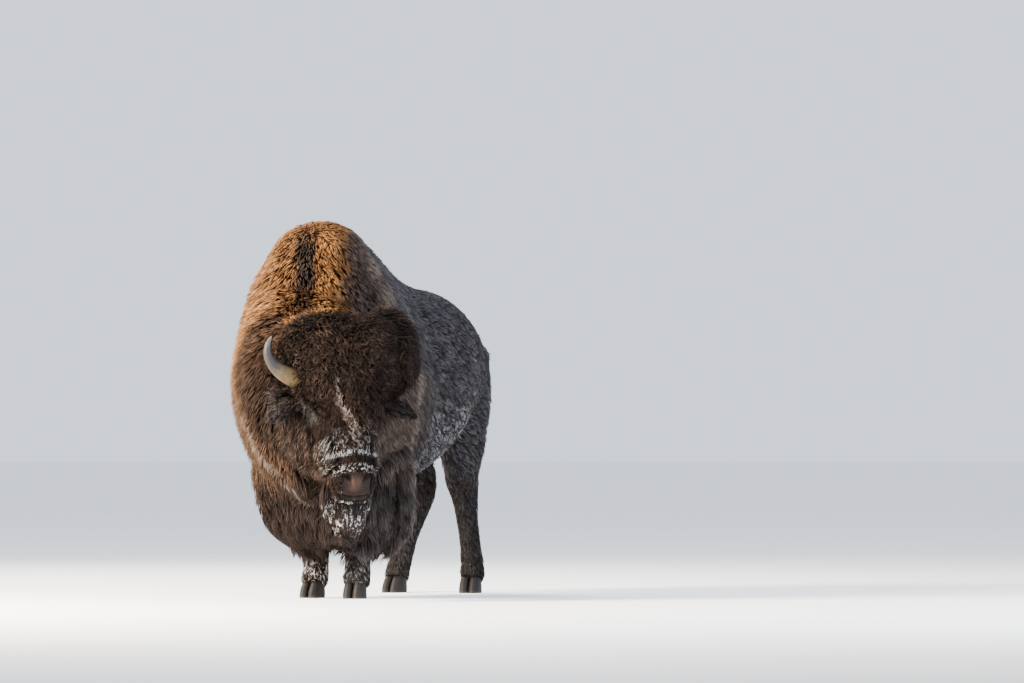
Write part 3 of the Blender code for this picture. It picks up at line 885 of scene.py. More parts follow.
def hind_leg_form(side):
    s = SIDES[side]
    x, y = HIND_FEET[side]
    hock_x, hock_y = HIND_HOCKS[side]
    return limb(
        [
            (s * 0.150, 1.240, 1.26, 0.114, 0.224),
            (s * 0.158, 1.210, 1.04, 0.116, 0.258),
            (s * 0.166, 1.200, 0.87, 0.106, 0.216),
            (s * 0.158, 1.250, 0.72, 0.086, 0.160),
            (hock_x, hock_y - 0.030, 0.60, 0.068, 0.116),
            (hock_x, hock_y, 0.515, 0.062, 0.092),
            (hock_x + (x - hock_x) * 0.25, hock_y + (y - hock_y) * 0.20, 0.41, 0.050, 0.066),
            (hock_x + (x - hock_x) * 0.65, hock_y + (y - hock_y) * 0.58, 0.27, 0.046, 0.058),
            (x - (x - hock_x) * 0.1, y + 0.020, 0.155, 0.053, 0.060),
            (x, y + 0.004, 0.105, 0.057, 0.063),
            (x, y - 0.012, 0.073, 0.059, 0.066),
        ]
    )


def tail_form():
    rows = [
        (1.430, 1.370, 0.045),
        (1.530, 1.340, 0.040),
        (1.605, 1.262, 0.028),
        (1.642, 1.120, 0.020),
        (1.654, 0.980, 0.018),
        (1.655, 0.860, 0.018),
        (1.652, 0.760, 0.014),
    ]
    return limb([(0, y, z, r, r) for y, z, r in rows])


def ear_form(side):
    """A broad leaf behind and below the horn, hollowed in front."""
    s = SIDES[side]
    root = on_head(s * 0.165, 0.115, -0.115)
    tip = on_head(s * 0.395, 0.228, -0.084)
    ahead = (tip - root).normalized()
    face = FOREHEAD.cross(ahead).cross(ahead).normalized()
    across = ahead.cross(face).normalized()
    rows = [(0.00, 0.60, 1.4), (0.25, 0.80, 1.1), (0.45, 1.00, 1.0)]
    rows += [(0.65, 1.00, 0.9), (0.85, 0.66, 0.8), (1.0, 0.16, 0.6)]
    rings = []
    for t, width, thick in eased(rows, 3):
        centre = root.lerp(tip, t) - UP * 0.015 * t * t
        ring = section(centre, across, face, 0.052 * width, 0.012 * thick, 0.012 * thick, count=20)
        dip = math.sin(math.pi * min(1, t * 1.1))
        inward = [1 - ((p - centre).dot(across) / 0.042) ** 2 for p in ring]
        rings.append([p - face * 0.014 * dip * share * 0.6 for p, share in zip(ring, inward)])
    return loft(rings)


def body_forms():
    """Every form of the skin by the region it makes."""
    forms = [("trunk", trunk_form()), ("trunk", hump_form()), ("neck", neck_form()), ("head", skull_form())]
    forms += [("mop", form) for form in mop_forms()]
    forms += [("beard", beard_form()), ("bib", bib_form()), ("tail", tail_form())]
    for side in SIDES:
        forms.append(("foreleg", front_leg_form(side)))
        forms.append(("hindleg", hind_leg_form(side)))
        forms.append(("ear", ear_form(side)))
    return forms


REGIONS = ("trunk", "neck", "head", "mop", "beard", "bib", "tail", "foreleg", "hindleg", "ear")
EYE_SEAT = (0.119, 0.212, -0.043)
EYE_RADIUS = 0.0250
EYE_OPENING = (0.0285, 0.0128)
IRIS_RADIUS = 0.0125


def eye_axes(side):
    """Where an eyeball sits, where it looks, the way to its front corner, and up its lids."""
    s = SIDES[side]
    seat = on_head(s * EYE_SEAT[0], *EYE_SEAT[1:])
    look = (LEFT * s * 0.80 + FOREHEAD * 0.56 + NOSE * 0.14).normalized()
    front = NOSE * 0.80 + FOREHEAD * 0.60
    front = (front - look * front.dot(look)).normalized()
    return seat, look, front, front.cross(look) * s


def around_eye(points, side):
    """Each point's gap from the eyeball's middle, that gap along, up and ahead, and 1 on the lids' rim."""
    seat, look, front, up = (np.array(v) for v in eye_axes(side))
    gap = points - seat
    a, b = gap @ front, gap @ up
    almond = (np.abs(a) / EYE_OPENING[0]) ** 1.6 + (np.abs(b) / EYE_OPENING[1]) ** 1.8
    return gap, a, b, gap @ look, almond


def lay_lids(points):
    """Skin round each eye laid on the eyeball, thick at the rims, and drawn in at the opening."""
    for side in SIDES:
        gap, a, b, ahead, almond = around_eye(points, side)
        rim = EYE_RADIUS + 0.0022 + 0.0030 * ease(b, -0.002, 0.012)
        wanted = EYE_RADIUS - 0.006 + (rim - EYE_RADIUS + 0.006) * ease(almond, 0.74, 1.10)
        share = ease(np.hypot(a, b * 1.15), 0.036, 0.022) * ease(ahead, -0.006, 0.004)
        far = np.linalg.norm(gap, axis=1)
        reach = far * (1 - share) + wanted * share
        points = points + gap * (reach / np.maximum(far, 1e-6) - 1)[:, None]
    return points


MOUTH = -0.094
MUZZLE = 0.648  # along the face to the front of the lips


def mouth_line(along):
    """How far out of the face's plane the lips meet."""
    return MOUTH + 0.10 * (MUZZLE - along)


def eye_folds(points):
    """How far the brow, the lids' creases and the pouch below them stand out."""
    move = np.zeros(len(points))
    for side in SIDES:
        _, a, b, ahead, _ = around_eye(points, side)
        near = ease(ahead, -0.030, -0.005)
        brow = 0.013 * bump(b - 0.030 + 0.15 * a, 0.013) * bump(a + 0.004, 0.036)
        fold = -0.0035 * bump(b - 0.0165, 0.0032) * bump(a, 0.026)
        pouch = 0.0065 * bump(b + 0.024, 0.0105) * bump(a + 0.004, 0.027)
        under = -0.0045 * bump(b + 0.039 - 0.12 * a, 0.0050) * bump(a + 0.004, 0.026)
        bag = -0.0025 * bump(b + 0.0150, 0.0026) * bump(a, 0.022)
        corner = -0.0040 * bump(np.hypot(a - 0.028, b + 0.003), 0.0060)
        move += (brow + fold + pouch + under + bag + corner) * near
    return move


def nostril_places(points):
    """Along and across each comma-shaped nostril, in units of its own size."""
    side, along, out = head_places(points).T
    a_side = np.abs(side)
    beside, below = a_side - 0.051, along - 0.574
    long_way = (beside * 0.84 - below * 0.54) / 0.0270
    short_way = (beside * 0.54 + below * 0.84) / 0.0115 - 0.30 * long_way**2
    return long_way, short_way, ease(out, -0.095, -0.065)


def sculpt_face(points, normals):
    """Moves the skin's points into orbits, brow, cheeks, nostrils, lips and the bridge of the nose."""
    side, along, out = head_places(points).T
    a_side = np.abs(side)
    move = eye_folds(points)
    move += 0.012 * bump(along - 0.33, 0.085) * bump(out + 0.175, 0.070) * ease(a_side, 0.06, 0.11)
    move -= 0.008 * bump(along - 0.45, 0.070) * bump(out + 0.06, 0.032) * ease(a_side, 0.05, 0.09)
    move += 0.005 * bump(a_side - 0.052, 0.016) * bump(along - 0.40, 0.10) * ease(out, -0.04, 0.0)
    long_way, short_way, front = nostril_places(points)
    nostril = np.hypot(long_way, short_way)
    move -= 0.024 * np.exp(-(nostril**2.6)) * front
    move += 0.0065 * np.exp(-(((nostril - 1.55) / 0.42) ** 2)) * front * ease(short_way, 0.8, -0.2)
    near = MUZZLE - along
    move -= 0.0035 * bump(side, 0.0045) * ease(near, 0.070, 0.050) * ease(out, MOUTH, MOUTH + 0.02)
    lips = mouth_line(along)
    corner = ease(near, 0.155, 0.115)
    move -= 0.014 * bump(out - lips, 0.0075) * corner
    move += 0.006 * bump(out - lips - 0.018, 0.010) * ease(near, 0.130, 0.080)
    move += 0.005 * bump(out - lips + 0.022, 0.014) * ease(near, 0.100, 0.050)
    flesh = ease(along, 0.10, 0.16)
    return lay_lids(points + normals * (move * flesh)[:, None])


def bare_share(points):
    """Where the skin is bare leather: nose pad, nostrils, lips and lid rims."""
    side, along, out = head_places(points).T
    near = MUZZLE - along
    line = mouth_line(along)
    pad = ease(near, 0.100, 0.086) * ease(out, line + 0.008, line + 0.018) * ease(np.abs(side), 0.078, 0.064)
    lips = ease(near, 0.075, 0.040) * bump(out - line + 0.002, 0.011) * ease(np.abs(side), 0.085, 0.060)
    rims = 0
    for eye in SIDES:
        _, _, _, ahead, almond = around_eye(points, eye)
        rims = rims + 0.5 * ease(almond, 2.1, 1.4) * (ahead > 0.0)
    return np.clip(pad + lips + rims, 0, 1)


def lit_patch(points):
    """Painted sunlight on the leather between the nostrils."""
    side, along, _ = head_places(points).T
    return bump(side + 0.010, 0.040) * bump(along - 0.606, 0.040)


def add_float(mesh, name, values):
    mesh.attributes.new(name, "FLOAT", "POINT").data.foreach_set("value", values)


def read(items, name, width=1, kind=float):
    """One value of every item, or one row of them, as an array."""
    values = np.empty(len(items) * width, kind)
    items.foreach_get(name, values)
    return values if width == 1 else values.reshape(-1, width)


def mesh_points(mesh):
    return read(mesh.vertices, "co", 3)


def mesh_normals(mesh):
    return read(mesh.vertex_normals, "vector", 3)


def split_faces(mesh, wanted):
    """Splits the faces whose middle the test accepts."""
    form = bmesh.new()
    form.from_mesh(mesh)
    middles = np.array([face.calc_center_median() for face in form.faces])
    edges = {e for face, chosen in zip(form.faces, wanted(middles)) if chosen for e in face.edges}
    bmesh.ops.subdivide_edges(form, edges=list(edges), cuts=1, use_grid_fill=True)
    form.to_mesh(mesh)
    form.free()


def on_face(points):
    side, along, out = head_places(points).T
    return (along > 0.13) & (along < 0.72) & (np.abs(side) < 0.19) & (out > -0.23) & (out < 0.07)


def at_features(points):
    """Close to an eye, the nose or the lips."""
    side, along, out = head_places(points).T
    a_side = np.abs(side)
    found = (along > 0.535) & (along < 0.70) & (out > -0.15) & (a_side < 0.12)
    found |= (along > 0.48) & (along < 0.58) & (np.abs(out - mouth_line(along)) < 0.026) & (a_side < 0.13)
    for eye in SIDES:
        _, a, b, ahead, _ = around_eye(points, eye)
        found |= (np.hypot(a, b) < 0.050) & (ahead > -0.02)
    return found


def at_lids(points):
    found = np.zeros(len(points), bool)
    for eye in SIDES:
        _, a, b, ahead, _ = around_eye(points, eye)
        found |= (np.hypot(a, b) < 0.030) & (ahead > -0.01)
    long_way, short_way, front = nostril_places(points)
    return found | ((np.hypot(long_way, short_way) < 1.8) & (front > 0.1))


def joined_forms(voxel, share):
    """All forms as one smooth closed surface, fine on the head and coarser where the coat is thick."""
    whole = bmesh.new()
    owners = []
    for name, form in body_forms():
        owners.append((REGIONS.index(name), BVHTree.FromBMesh(form)))
        part = bpy.data.meshes.new("form")
        form.to_mesh(part)
        form.free()
        whole.from_mesh(part)
        bpy.data.meshes.remove(part)
    mesh = bpy.data.meshes.new("skin")
    whole.to_mesh(mesh)
    whole.free()
    work = new_object("skin_work", mesh)
    joining = work.modifiers.new("joined", "REMESH")
    joining.mode = "VOXEL"
    joining.voxel_size = voxel
    work.modifiers.new("evened", "SMOOTH").iterations = 8
    apply_modifiers(work)
    body = work.vertex_groups.new(name="body")
    side, along, out = head_places(mesh_points(work.data)).T
    coarse = ~((along > 0.02) & (along < 0.75) & (np.abs(side) < 0.40) & (out > -0.30))
    body.add(np.flatnonzero(coarse).tolist(), 1.0, "REPLACE")
    thinning = work.modifiers.new("thinned", "DECIMATE")
    thinning.vertex_group = "body"
    thinning.vertex_group_factor = 10.0
    thinning.ratio = share
    apply_modifiers(work)
    work.vertex_groups.clear()
    mesh = work.data
    bpy.data.objects.remove(work)
    return mesh, owners


def nearest_owner(points, owners):
    """Which form each point came from."""
    region = np.zeros(len(points), np.int32)
    nearest = np.full(len(points), np.inf)
    for index, tree in owners:
        for k, point in enumerate(points):
            distance = tree.find_nearest(point, 0.05)[3]
            if distance is not None and distance < nearest[k]:
                nearest[k], region[k] = distance, index
    return region


def make_skin(shape, colours):
    mesh, owners = joined_forms(shape.voxel, shape.share)
    split_faces(mesh, on_face)
    split_faces(mesh, at_features)
    split_faces(mesh, at_lids)
    mesh.vertices.foreach_set("co", sculpt_face(mesh_points(mesh), mesh_normals(mesh)).ravel())
    mesh.update()
    points = mesh_points(mesh)
    mesh.attributes.new("region", "INT", "POINT").data.foreach_set("value", nearest_owner(points, owners))
    add_float(mesh, "bare", bare_share(points))
    add_float(mesh, "patch", lit_patch(points))
    flesh = [n for n in frame["nodes"] if not n.startswith(("horn", "hoof", "eye", "dewclaw"))]
    skin = add_piece("skin", mesh, painted("bison_skin", skin_paint, colours), "brown_coat", *flesh)
    choose(skin)
    bpy.ops.object.mode_set(mode="EDIT")
    bpy.ops.mesh.select_all(action="SELECT")
    mesh.uv_layers.new(name="OFBake")
    bpy.ops.uv.smart_project(angle_limit=math.radians(70), island_margin=0.002)
    bpy.ops.object.mode_set(mode="OBJECT")
    return skin


# ---------------------------------------------------------------- the coat
def tree_of(places):
    tree = KDTree(len(places))
    for k, place in enumerate(places):
        tree.insert(place, k)
    tree.balance()
    return tree


def nearest_in(tree, places):
    return np.fromiter((tree.find(p)[1] for p in places), np.int64, len(places))


RAY_STEP = 0.0002  # past a face before the next ray
CUT_WIDTH = 0.004  # more than the cuts between the solids
FAR = 3.0


class Hide:
    """The skin's triangles and points as arrays, in the bull's own frame, for hair to grow on."""

    def __init__(self, skin):
        mesh = skin.data
        mesh.calc_loop_triangles()
        corners = read(mesh.loop_triangles, "vertices", 3, np.int32)
        loops = read(mesh.loop_triangles, "loops", 3, np.int32)
        self.points = mesh_points(mesh) + np.array(CENTRE)
        self.normals = mesh_normals(mesh)
        self.region = read(mesh.attributes["region"].data, "value", kind=np.int32)
        self.bare = read(mesh.attributes["bare"].data, "value")
        flat = read(mesh.uv_layers["OFBake"].data, "uv", 2)[loops]
        order = np.argsort(self.along_a_curve(self.points[corners].mean(axis=1)))
        self.corners, self.flat = corners[order], flat[order]
        spans = self.points[self.corners]
        self.area = np.linalg.norm(np.cross(spans[:, 1] - spans[:, 0], spans[:, 2] - spans[:, 0]), axis=1) / 2
        self.middles = spans.mean(axis=1)
        self.tree = tree_of(self.points)
        self.solids = solid_shell()

    @staticmethod
    def along_a_curve(places):
        """A sorting key that keeps neighbours together, so that even steps along it spread evenly."""
        cells = ((places - places.min(axis=0)) / 0.01).astype(np.int64)
        key = np.zeros(len(cells), np.int64)
        for bit in range(10):
            for axis in range(3):
                key |= ((cells[:, axis] >> bit) & 1) << (3 * bit + axis)
        return key

    def roots(self, thickness, count, seed):
        """Even random roots. thickness is the share of hair wanted at each triangle's middle."""
        dice = np.random.default_rng(seed)
        weights = np.cumsum(self.area * thickness)
        picks = (np.arange(count) + dice.random(count)) / count * weights[-1]
        chosen = np.minimum(np.searchsorted(weights, picks), len(weights) - 1)
        first, second = np.sqrt(dice.random(count)), dice.random(count)
        shares = np.stack([1 - first, first * (1 - second), first * second], axis=1)
        corners = self.corners[chosen]
        points = np.einsum("nk,nkd->nd", shares, self.points[corners])
        normals = unit(np.einsum("nk,nkd->nd", shares, self.normals[corners]))
        flat = np.einsum("nk,nkd->nd", shares, self.flat[chosen])
        return points, normals, flat, self.region[corners[:, 0]], dice

    def under(self, places):
        """The nearest skin point to every place, and its normal."""
        found = nearest_in(self.tree, places)
        return self.points[found], self.normals[found]

    def depth(self, points, normals, most, outside):
        """From every point out to the solids' surface, through the thin cuts between them.

        A point already outside them gets the share outside of most.
        """
        reach = np.empty(len(points))
        for k, (point, normal) in enumerate(zip(points, normals)):
            start, gone = Vector(point), 0.0
            ahead = Vector(normal)
            while gone < most:
                hit, face, _, distance = self.solids.ray_cast(start, ahead, most - gone)
                if hit is None:
                    if gone == 0.0:
                        wall, outer, _, _ = self.solids.ray_cast(start, ahead, FAR)
                        within = wall is not None and outer.dot(ahead) > 0
                        gone = most if within else most * outside
                    break
                gone += distance
                start = hit + ahead * RAY_STEP
                beyond = self.solids.ray_cast(start, ahead, CUT_WIDTH)
                if face.dot(ahead) > 0 and beyond[0] is None:
                    break
                gone += RAY_STEP
            reach[k] = gone
        return np.minimum(reach, most)


def solid_shell():
    """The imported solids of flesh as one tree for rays, in the bull's own frame."""
    corners, faces = [], []
    for name, node in frame["nodes"].items():
        if name.startswith(("horn", "hoof", "eye", "dewclaw", "ear")):
            continue
        start = len(corners)
        corners += [v.co + CENTRE for v in node.data.vertices]
        faces += [[start + k for k in face.vertices] for face in node.data.polygons]
    return BVHTree.FromPolygons(corners, faces)


HIDES = {}


def the_hide():
    skin = bpy.data.objects.get("skin")
    if skin is None:
        raise RuntimeError("The coat grows on the skin: make the skin first")
    if skin.name not in HIDES:
        HIDES[skin.name] = Hide(skin)
    return HIDES[skin.name]


def lock_paths(hide, points, normals, flow, length, height, style, dice):
    """Each lock's path: out of the skin, down the flow, held at its height over the hide, then free."""
    steps = style.steps
    here = points - normals * 0.004
    path = [here]
    over = normals
    swing = dice.random(len(points)) * math.tau
    turn = np.where(dice.random(len(points)) < 0.5, -1.0, 1.0)
    for k in range(1, steps + 1):
        t = k / steps
        ahead = flow - over * np.sum(flow * over, axis=1, keepdims=True)
        ahead = unit(unit(ahead) + style.sag * t * TO_GROUND)
        across = np.cross(over, ahead)
        phase = swing + turn * t * style.curl * math.tau
        wave = across * np.cos(phase)[:, None] + over * np.sin(phase)[:, None]
        here = here + ahead * (length / steps)[:, None]
        here = here + wave * (style.curl_width * length)[:, None] / steps * 2
        base, over = hide.under(here)
        above = np.sum((here - base) * over, axis=1)
        wanted = height * (1 - (1 - t) ** style.rise)
        short = np.maximum(wanted - above, 0)
        spare = np.minimum(wanted - above, 0) * style.cling
        here = here + over * (short + spare)[:, None]
        here[:, 2] = np.maximum(here[:, 2], 0.006)
        path.append(here)
    return np.stack(path, axis=1)


def gather(path, points, dice, spacing, pull):
    """Draws the tips of neighbouring locks together into tufts. Returns the path and each lock's tuft."""
    count = max(1, int(len(points) / spacing))
    leaders = np.sort(dice.choice(len(points), count, replace=False))
    tuft = nearest_in(tree_of(points[leaders]), points)
    t = np.linspace(0, 1, path.shape[1])[None, :, None]
    return path + (path[leaders[tuft]] - path) * pull * t**1.4, tuft, count


def lock_mesh(name, path, over, flat, width, thick, tone):
    """Every lock as a closed three-sided blade that tapers to a point, all in one mesh."""
    count, rings = path.shape[0], path.shape[1] - 1
    ahead = unit(np.gradient(path, axis=1))
    across = unit(np.cross(ahead, over[:, None, :]))
    out = np.cross(across, ahead)
    t = np.linspace(0, 1, rings + 1)
    full = (0.62 + 0.38 * np.sin(np.clip(t * 2.2, 0, 1) * math.pi / 2)) * (1 - t**1.8) ** 0.8
    half = width[:, None, None] / 2 * full[None, :, None]
    ridge = thick[:, None, None] * full[None, :, None]
    corners = [path - across * half, path + across * half, path + out * ridge]
    ringed = np.stack(corners, axis=2)[:, :rings].reshape(count, rings * 3, 3)
    places = np.concatenate([ringed, path[:, -1:, :]], axis=1)
    each = rings * 3 + 1
    quads, threes = [], [(2, 1, 0)]
    for k in range(rings - 1):
        low, high = 3 * k, 3 * k + 3
        quads += [(low + a, low + b, high + b, high + a) for a, b in ((0, 1), (1, 2), (2, 0))]
    last = 3 * rings - 3
    threes += [(last + a, last + b, each - 1) for a, b in ((0, 1), (1, 2), (2, 0))]
    starts = np.arange(count)[:, None, None] * each
    blocks = [np.array(quads).reshape(1, -1, 4) + starts, np.array(threes)[None] + starts]
    mesh = bpy.data.meshes.new(name)
    mesh.vertices.add(count * each)
    mesh.vertices.foreach_set("co", places.ravel())
    corners_flat = np.concatenate([b.ravel() for b in blocks])
    sizes = np.concatenate([np.full(b.shape[0] * b.shape[1], b.shape[2]) for b in blocks])
    mesh.loops.add(len(corners_flat))
    mesh.loops.foreach_set("vertex_index", corners_flat)
    mesh.polygons.add(len(sizes))
    mesh.polygons.foreach_set("loop_start", np.concatenate([[0], np.cumsum(sizes)[:-1]]))
    mesh.polygons.foreach_set("loop_total", sizes)
    down = np.append(np.repeat(t[:rings], 3), 1.0)
    beside = np.append(np.tile([0.0, 1.0, 0.5], rings), 0.5)
    patch = np.stack([beside - 0.5, down - 0.5], axis=1) * 0.003
    spots = (flat[:, None, :] + patch[None]).reshape(-1, 2)
    mesh.uv_layers.new(name="OFBake").data.foreach_set("uv", spots[corners_flat].ravel())
    add_float(mesh, "along", np.tile(down, count))
    add_float(mesh, "tone", np.repeat(tone, each))
    mesh.update(calc_edges=True)
    return mesh


class Style:
    """How one stretch of coat grows: sizes in metres, the rest shares and counts."""

    slot = "head_coat"
    length = (0.05, 0.08)
    width = 0.008
    height = (0.5, 1.0)  # of the depth to the solids
    most = 0.06
    least = 0.0
    outside = 1.0  # of most, for hair that starts outside the solids
    steps = 3
    sag = 0.1  # turned down by its weight, towards the tip
    curl = 0.0  # turns from root to tip
    curl_width = 0.0
    rise = 1.4  # the larger, the sooner it reaches its height
    cling = 1.0  # how firmly it is drawn back to its height
    spacing = 7  # locks to a tuft
    pull = 0.6  # of the tuft on its locks' tips
    scatter = 0.18
    thickness = 0.35  # against the width
    stretch = None  # lengths over the hide, against the style's own
    taper = 0.0  # how much lower it stands where it thins out

    def __init__(self, **given):
        for name, value in given.items():
            setattr(self, name, value)


HAIR_BEYOND = 0.042  # how far the widest hair may stand out past the solids' sides
HAIR_BENDS = 0.010  # how far inside their sides it begins to bend back


def hold_in(path):
    """Hair at the widest places bends back, so that the coat keeps close to the solids' width."""
    for end, way in zip(CAD_BOX, (-1, 1)):
        start = end[0] + CENTRE[0] - way * HAIR_BENDS
        over = np.maximum((path[..., 0] - start) * way, 0)
        path[..., 0] -= way * (over - HAIR_BEYOND * (1 - np.exp(-over / HAIR_BEYOND)))
    return path


def grow(name, settings, colours):
    """One piece of coat, over the part of the hide where its density is above nought."""
    density, lie, count, style = COATS[name]
    hide = the_hide()
    bare = hide.bare[hide.corners].max(axis=1)
    thick = density(hide.middles, hide.region[hide.corners[:, 0]]) * (bare < 0.3)
    count = max(20, int(count * settings.fullness))
    seed = settings.seed + list(COATS).index(name)
    points, normals, flat, region, dice = hide.roots(thick, count, seed)
    share = np.clip(density(points, region), 0.35, 1.0)
    length = dice.uniform(*style.length, count) * (0.55 + 0.45 * share)
    if style.stretch:
        length = length * style.stretch(points, region)
    depth = hide.depth(points, normals, style.most, style.outside)
    height = np.maximum(depth, style.least) * dice.uniform(*style.height, count)
    height = height * (1 - style.taper + style.taper * share)
    flow = unit(lie(points, region) + dice.normal(0, style.scatter, (count, 3)))
    path = lock_paths(hide, points, normals, flow, length, height, style, dice)
    path, tuft, tufts = gather(path, points, dice, style.spacing, style.pull)
    path = hold_in(path)
    tone = np.clip(0.5 * dice.random(tufts)[tuft] + 0.5 * dice.random(count), 0, 1)
    width = style.width * dice.uniform(0.7, 1.25, count) * (0.6 + 0.4 * share)
    mesh = lock_mesh(name, path, normals, flat, width, width * style.thickness, tone)
    return add_piece(name, mesh, painted("bison_coat", coat_paint, colours), style.slot)


# ---------------------------------------------------------------- where each stretch of coat grows
def region_is(region, *names):
    return np.isin(region, [REGIONS.index(name) for name in names])


def in_head(points):
    """1 on the head and its ruff, 0 behind the nape."""
    return ease((points - np.array(NAPE)) @ np.array(HEADING), -0.03, 0.04)


def clear_of_eyes(points, near, far):
    clear = np.ones(len(points))
    for side in SIDES:
        _, a, b, ahead, _ = around_eye(points, side)
        clear *= np.where(ahead > -0.02, ease(np.hypot(a, b + 0.010), near, far), 1)
    return clear


def in_mop(points):
    """Crown and forelock: down to the bridge of the nose in the middle, and clear of the eyes."""
    side, along, out = head_places(points).T
    hem = 0.350 - 0.165 * ease(side, 0.010, -0.070) - 0.175 * ease(side, 0.085, 0.130)
    return in_head(points) * ease(along, hem, hem - 0.05) * ease(out, -0.19, -0.11)


def mop_share(points, region):
    return in_mop(points) * ~region_is(region, "ear") * clear_of_eyes(points, 0.030, 0.048)


def forelock_share(points, region):
    return mop_share(points, region) * ease(head_places(points)[:, 1], -0.02, 0.04)


def crown_share(points, region):
    return mop_share(points, region) * ease(head_places(points)[:, 1], 0.04, -0.02)


def in_beard(points, region):
    _, along, out = head_places(points).T
    chin = in_head(points) * ease(along, 0.44, 0.56) * ease(out, -0.125, -0.155)
    return np.maximum(chin, region_is(region, "beard"))


def in_ruff(points):
    _, along, out = head_places(points).T
    return ease(out, -0.07, -0.19) * ease(along, 0.62, 0.46)


def ruff_share(points, region):
    kept = ~region_is(region, "ear", "beard", "bib")
    others = (1 - in_mop(points)) * (1 - in_beard(points, region))
    return in_head(points) * in_ruff(points) * others * kept


def face_share(points, region):
    along = head_places(points)[:, 1]
    others = np.maximum(np.maximum(in_mop(points), in_ruff(points)), in_beard(points, region))
    opening = np.ones(len(points))
    for eye in SIDES:
        _, _, above, ahead, almond = around_eye(points, eye)
        edge = np.where(above < 0, 1.45, 1.0) * almond
        opening *= np.where(ahead > 0.0, ease(edge, 1.7, 2.4), 1)
    fine = 0.7 + 0.3 * ease(along, 0.30, 0.55)
    return in_head(points) * ease(others, 1.0, 0.70) * opening * fine * ~region_is(region, "ear")


def cheek_share(points, region):
    """The longer hair that flares out beside the bridge of the nose."""
    side, along, out = head_places(points).T
    beside = ease(np.abs(side), 0.060, 0.095) * ease(out, 0.0, -0.03) * ease(out, -0.20, -0.15)
    beside = beside * ease(along, 0.325, 0.360) * ease(along, 0.53, 0.49)
    return in_head(points) * beside * region_is(region, "head")


def in_cape(points):
    return ease(points[:, 1], 0.46, 0.26)


def in_bib(points, region):
    _, y, z = points.T
    low = np.maximum(ease(z, 0.80, 0.60) * ease(y, 0.34, 0.16), ease(z, 0.64, 0.58) * ease(y, 0.62, 0.46))
    low = low * ~region_is(region, "hindleg")
    legs = region_is(region, "foreleg", "bib") * ease(z, 0.92, 0.78)
    return np.maximum(low, legs) * ease(z, 0.235, 0.275)


def cape_share(points, region):
    kept = ~region_is(region, "ear", "beard")
    return (1 - in_head(points)) * in_cape(points) * (1 - in_bib(points, region)) * kept


def bib_share(points, region):
    return (1 - in_head(points)) * in_bib(points, region) * ~region_is(region, "beard", "ear")


def flank_share(points, region):
    return (1 - in_cape(points)) * ~region_is(region, "tail") * ease(points[:, 2], 0.50, 0.60)


def leg_share(points, region):
    z = points[:, 2]
    fore = region_is(region, "foreleg") * ease(z, 0.33, 0.28)
    hind = region_is(region, "hindleg") * ease(z, 0.62, 0.52)
    return np.maximum(fore, hind)


def tail_share(points, region):
    return region_is(region, "tail") * np.where(points[:, 2] < 1.0, 1.0, 0.35)


def ear_share(points, region):
    return region_is(region, "ear").astype(float)


def on_side(side, share):
    """The same share, kept on one side of the bull's middle."""

    def half(points, region):
        left = points[:, 0] > 0
        return share(points, region) * (left if side == "left" else ~left)

    return half


# ---------------------------------------------------------------- which way each stretch lies
def ways(*columns):
    return np.stack(np.broadcast_arrays(*columns), axis=1)


def cape_lie(points, region):
    x, y, z = points.T
    outward = np.tanh(x / 0.12)
    front = ease(y, -0.10, -0.42)
    top = ease(z, 1.50, 1.80) * (1 - front)
    return ways(outward * (0.22 + 0.25 * front), 0.40 - 0.5 * front + 0.8 * top, -1 + 0.65 * top)


def neck_drop(points, region):
    side = head_places(points)[:, 0]
    spread = TO_LEFT * np.tanh(side / 0.1)[:, None]
    return spread * 0.45 - np.array(HEADING) * 0.30 + TO_GROUND


def mop_lie(points, region):
    side, along, _ = head_places(points).T
    whorl = TO_LEFT * (side * 1.2)[:, None] + TO_NOSE * (along + 0.30)[:, None]
    far = ease(side, 0.06, 0.20)[:, None] * ease(along, 0.16, 0.04)[:, None]
    return unit(whorl) * 0.75 + TO_LEFT * far * 0.8 + TO_GROUND * 0.15


def mop_stretch(points, region):
    """Longer where it hangs beside the left eye, shorter beside the right horn and eye."""
    side, along, _ = head_places(points).T
    far = ease(side, 0.10, 0.22) * ease(along, 0.22, 0.12)
    near = ease(side, -0.10, -0.19) * ease(along, 0.30, 0.05)
    return 1 + 0.7 * far - 0.35 * near


def face_lie(points, region):
    side, _, out = head_places(points).T
    cheek = ease(out, -0.02, -0.12)[:, None]
    spread = TO_LEFT * (side / 0.12)[:, None]
    return TO_NOSE * (1 - 0.5 * cheek) + spread * 0.45 - TO_FRONT * 0.7 * cheek


def cheek_lie(points, region):
    side = head_places(points)[:, 0]
    spread = TO_LEFT * np.sign(side)[:, None]
    return spread * 0.85 + TO_NOSE * 0.75 - TO_FRONT * 0.15


def cheek_stretch(points, region):
    return 0.45 + 0.55 * ease(head_places(points)[:, 1], 0.50, 0.38)


def face_stretch(points, region):
    """Short on the muzzle and by the eyes, longer up the bridge and towards the cheeks."""
    _, along, out = head_places(points).T
    longer = ease(along, 0.52, 0.36) + 1.3 * ease(out, -0.05, -0.13) * ease(along, 0.60, 0.40)
    return 0.75 + np.minimum(longer, 1.6) * (0.4 + 0.6 * clear_of_eyes(points, 0.030, 0.060))


def down_lie(points, region):
    return ways(np.zeros(len(points)), 0.12, -1.0)


def beard_lie(points, region):
    chin = np.array(on_head(0, 0.56, -0.2))
    spread = unit((points - chin) * np.array([1, 1, 0]))
    return spread * 0.22 + TO_GROUND


def bib_lie(points, region):
    x, y, _ = points.T
    behind = ease(y, 0.02, 0.14)
    back = 0.12 + 0.3 * behind - 0.3 * ease(y, -0.2, -0.45)
    return ways((0.18 + 0.25 * behind) * np.tanh(x / 0.15), back, -1.0)


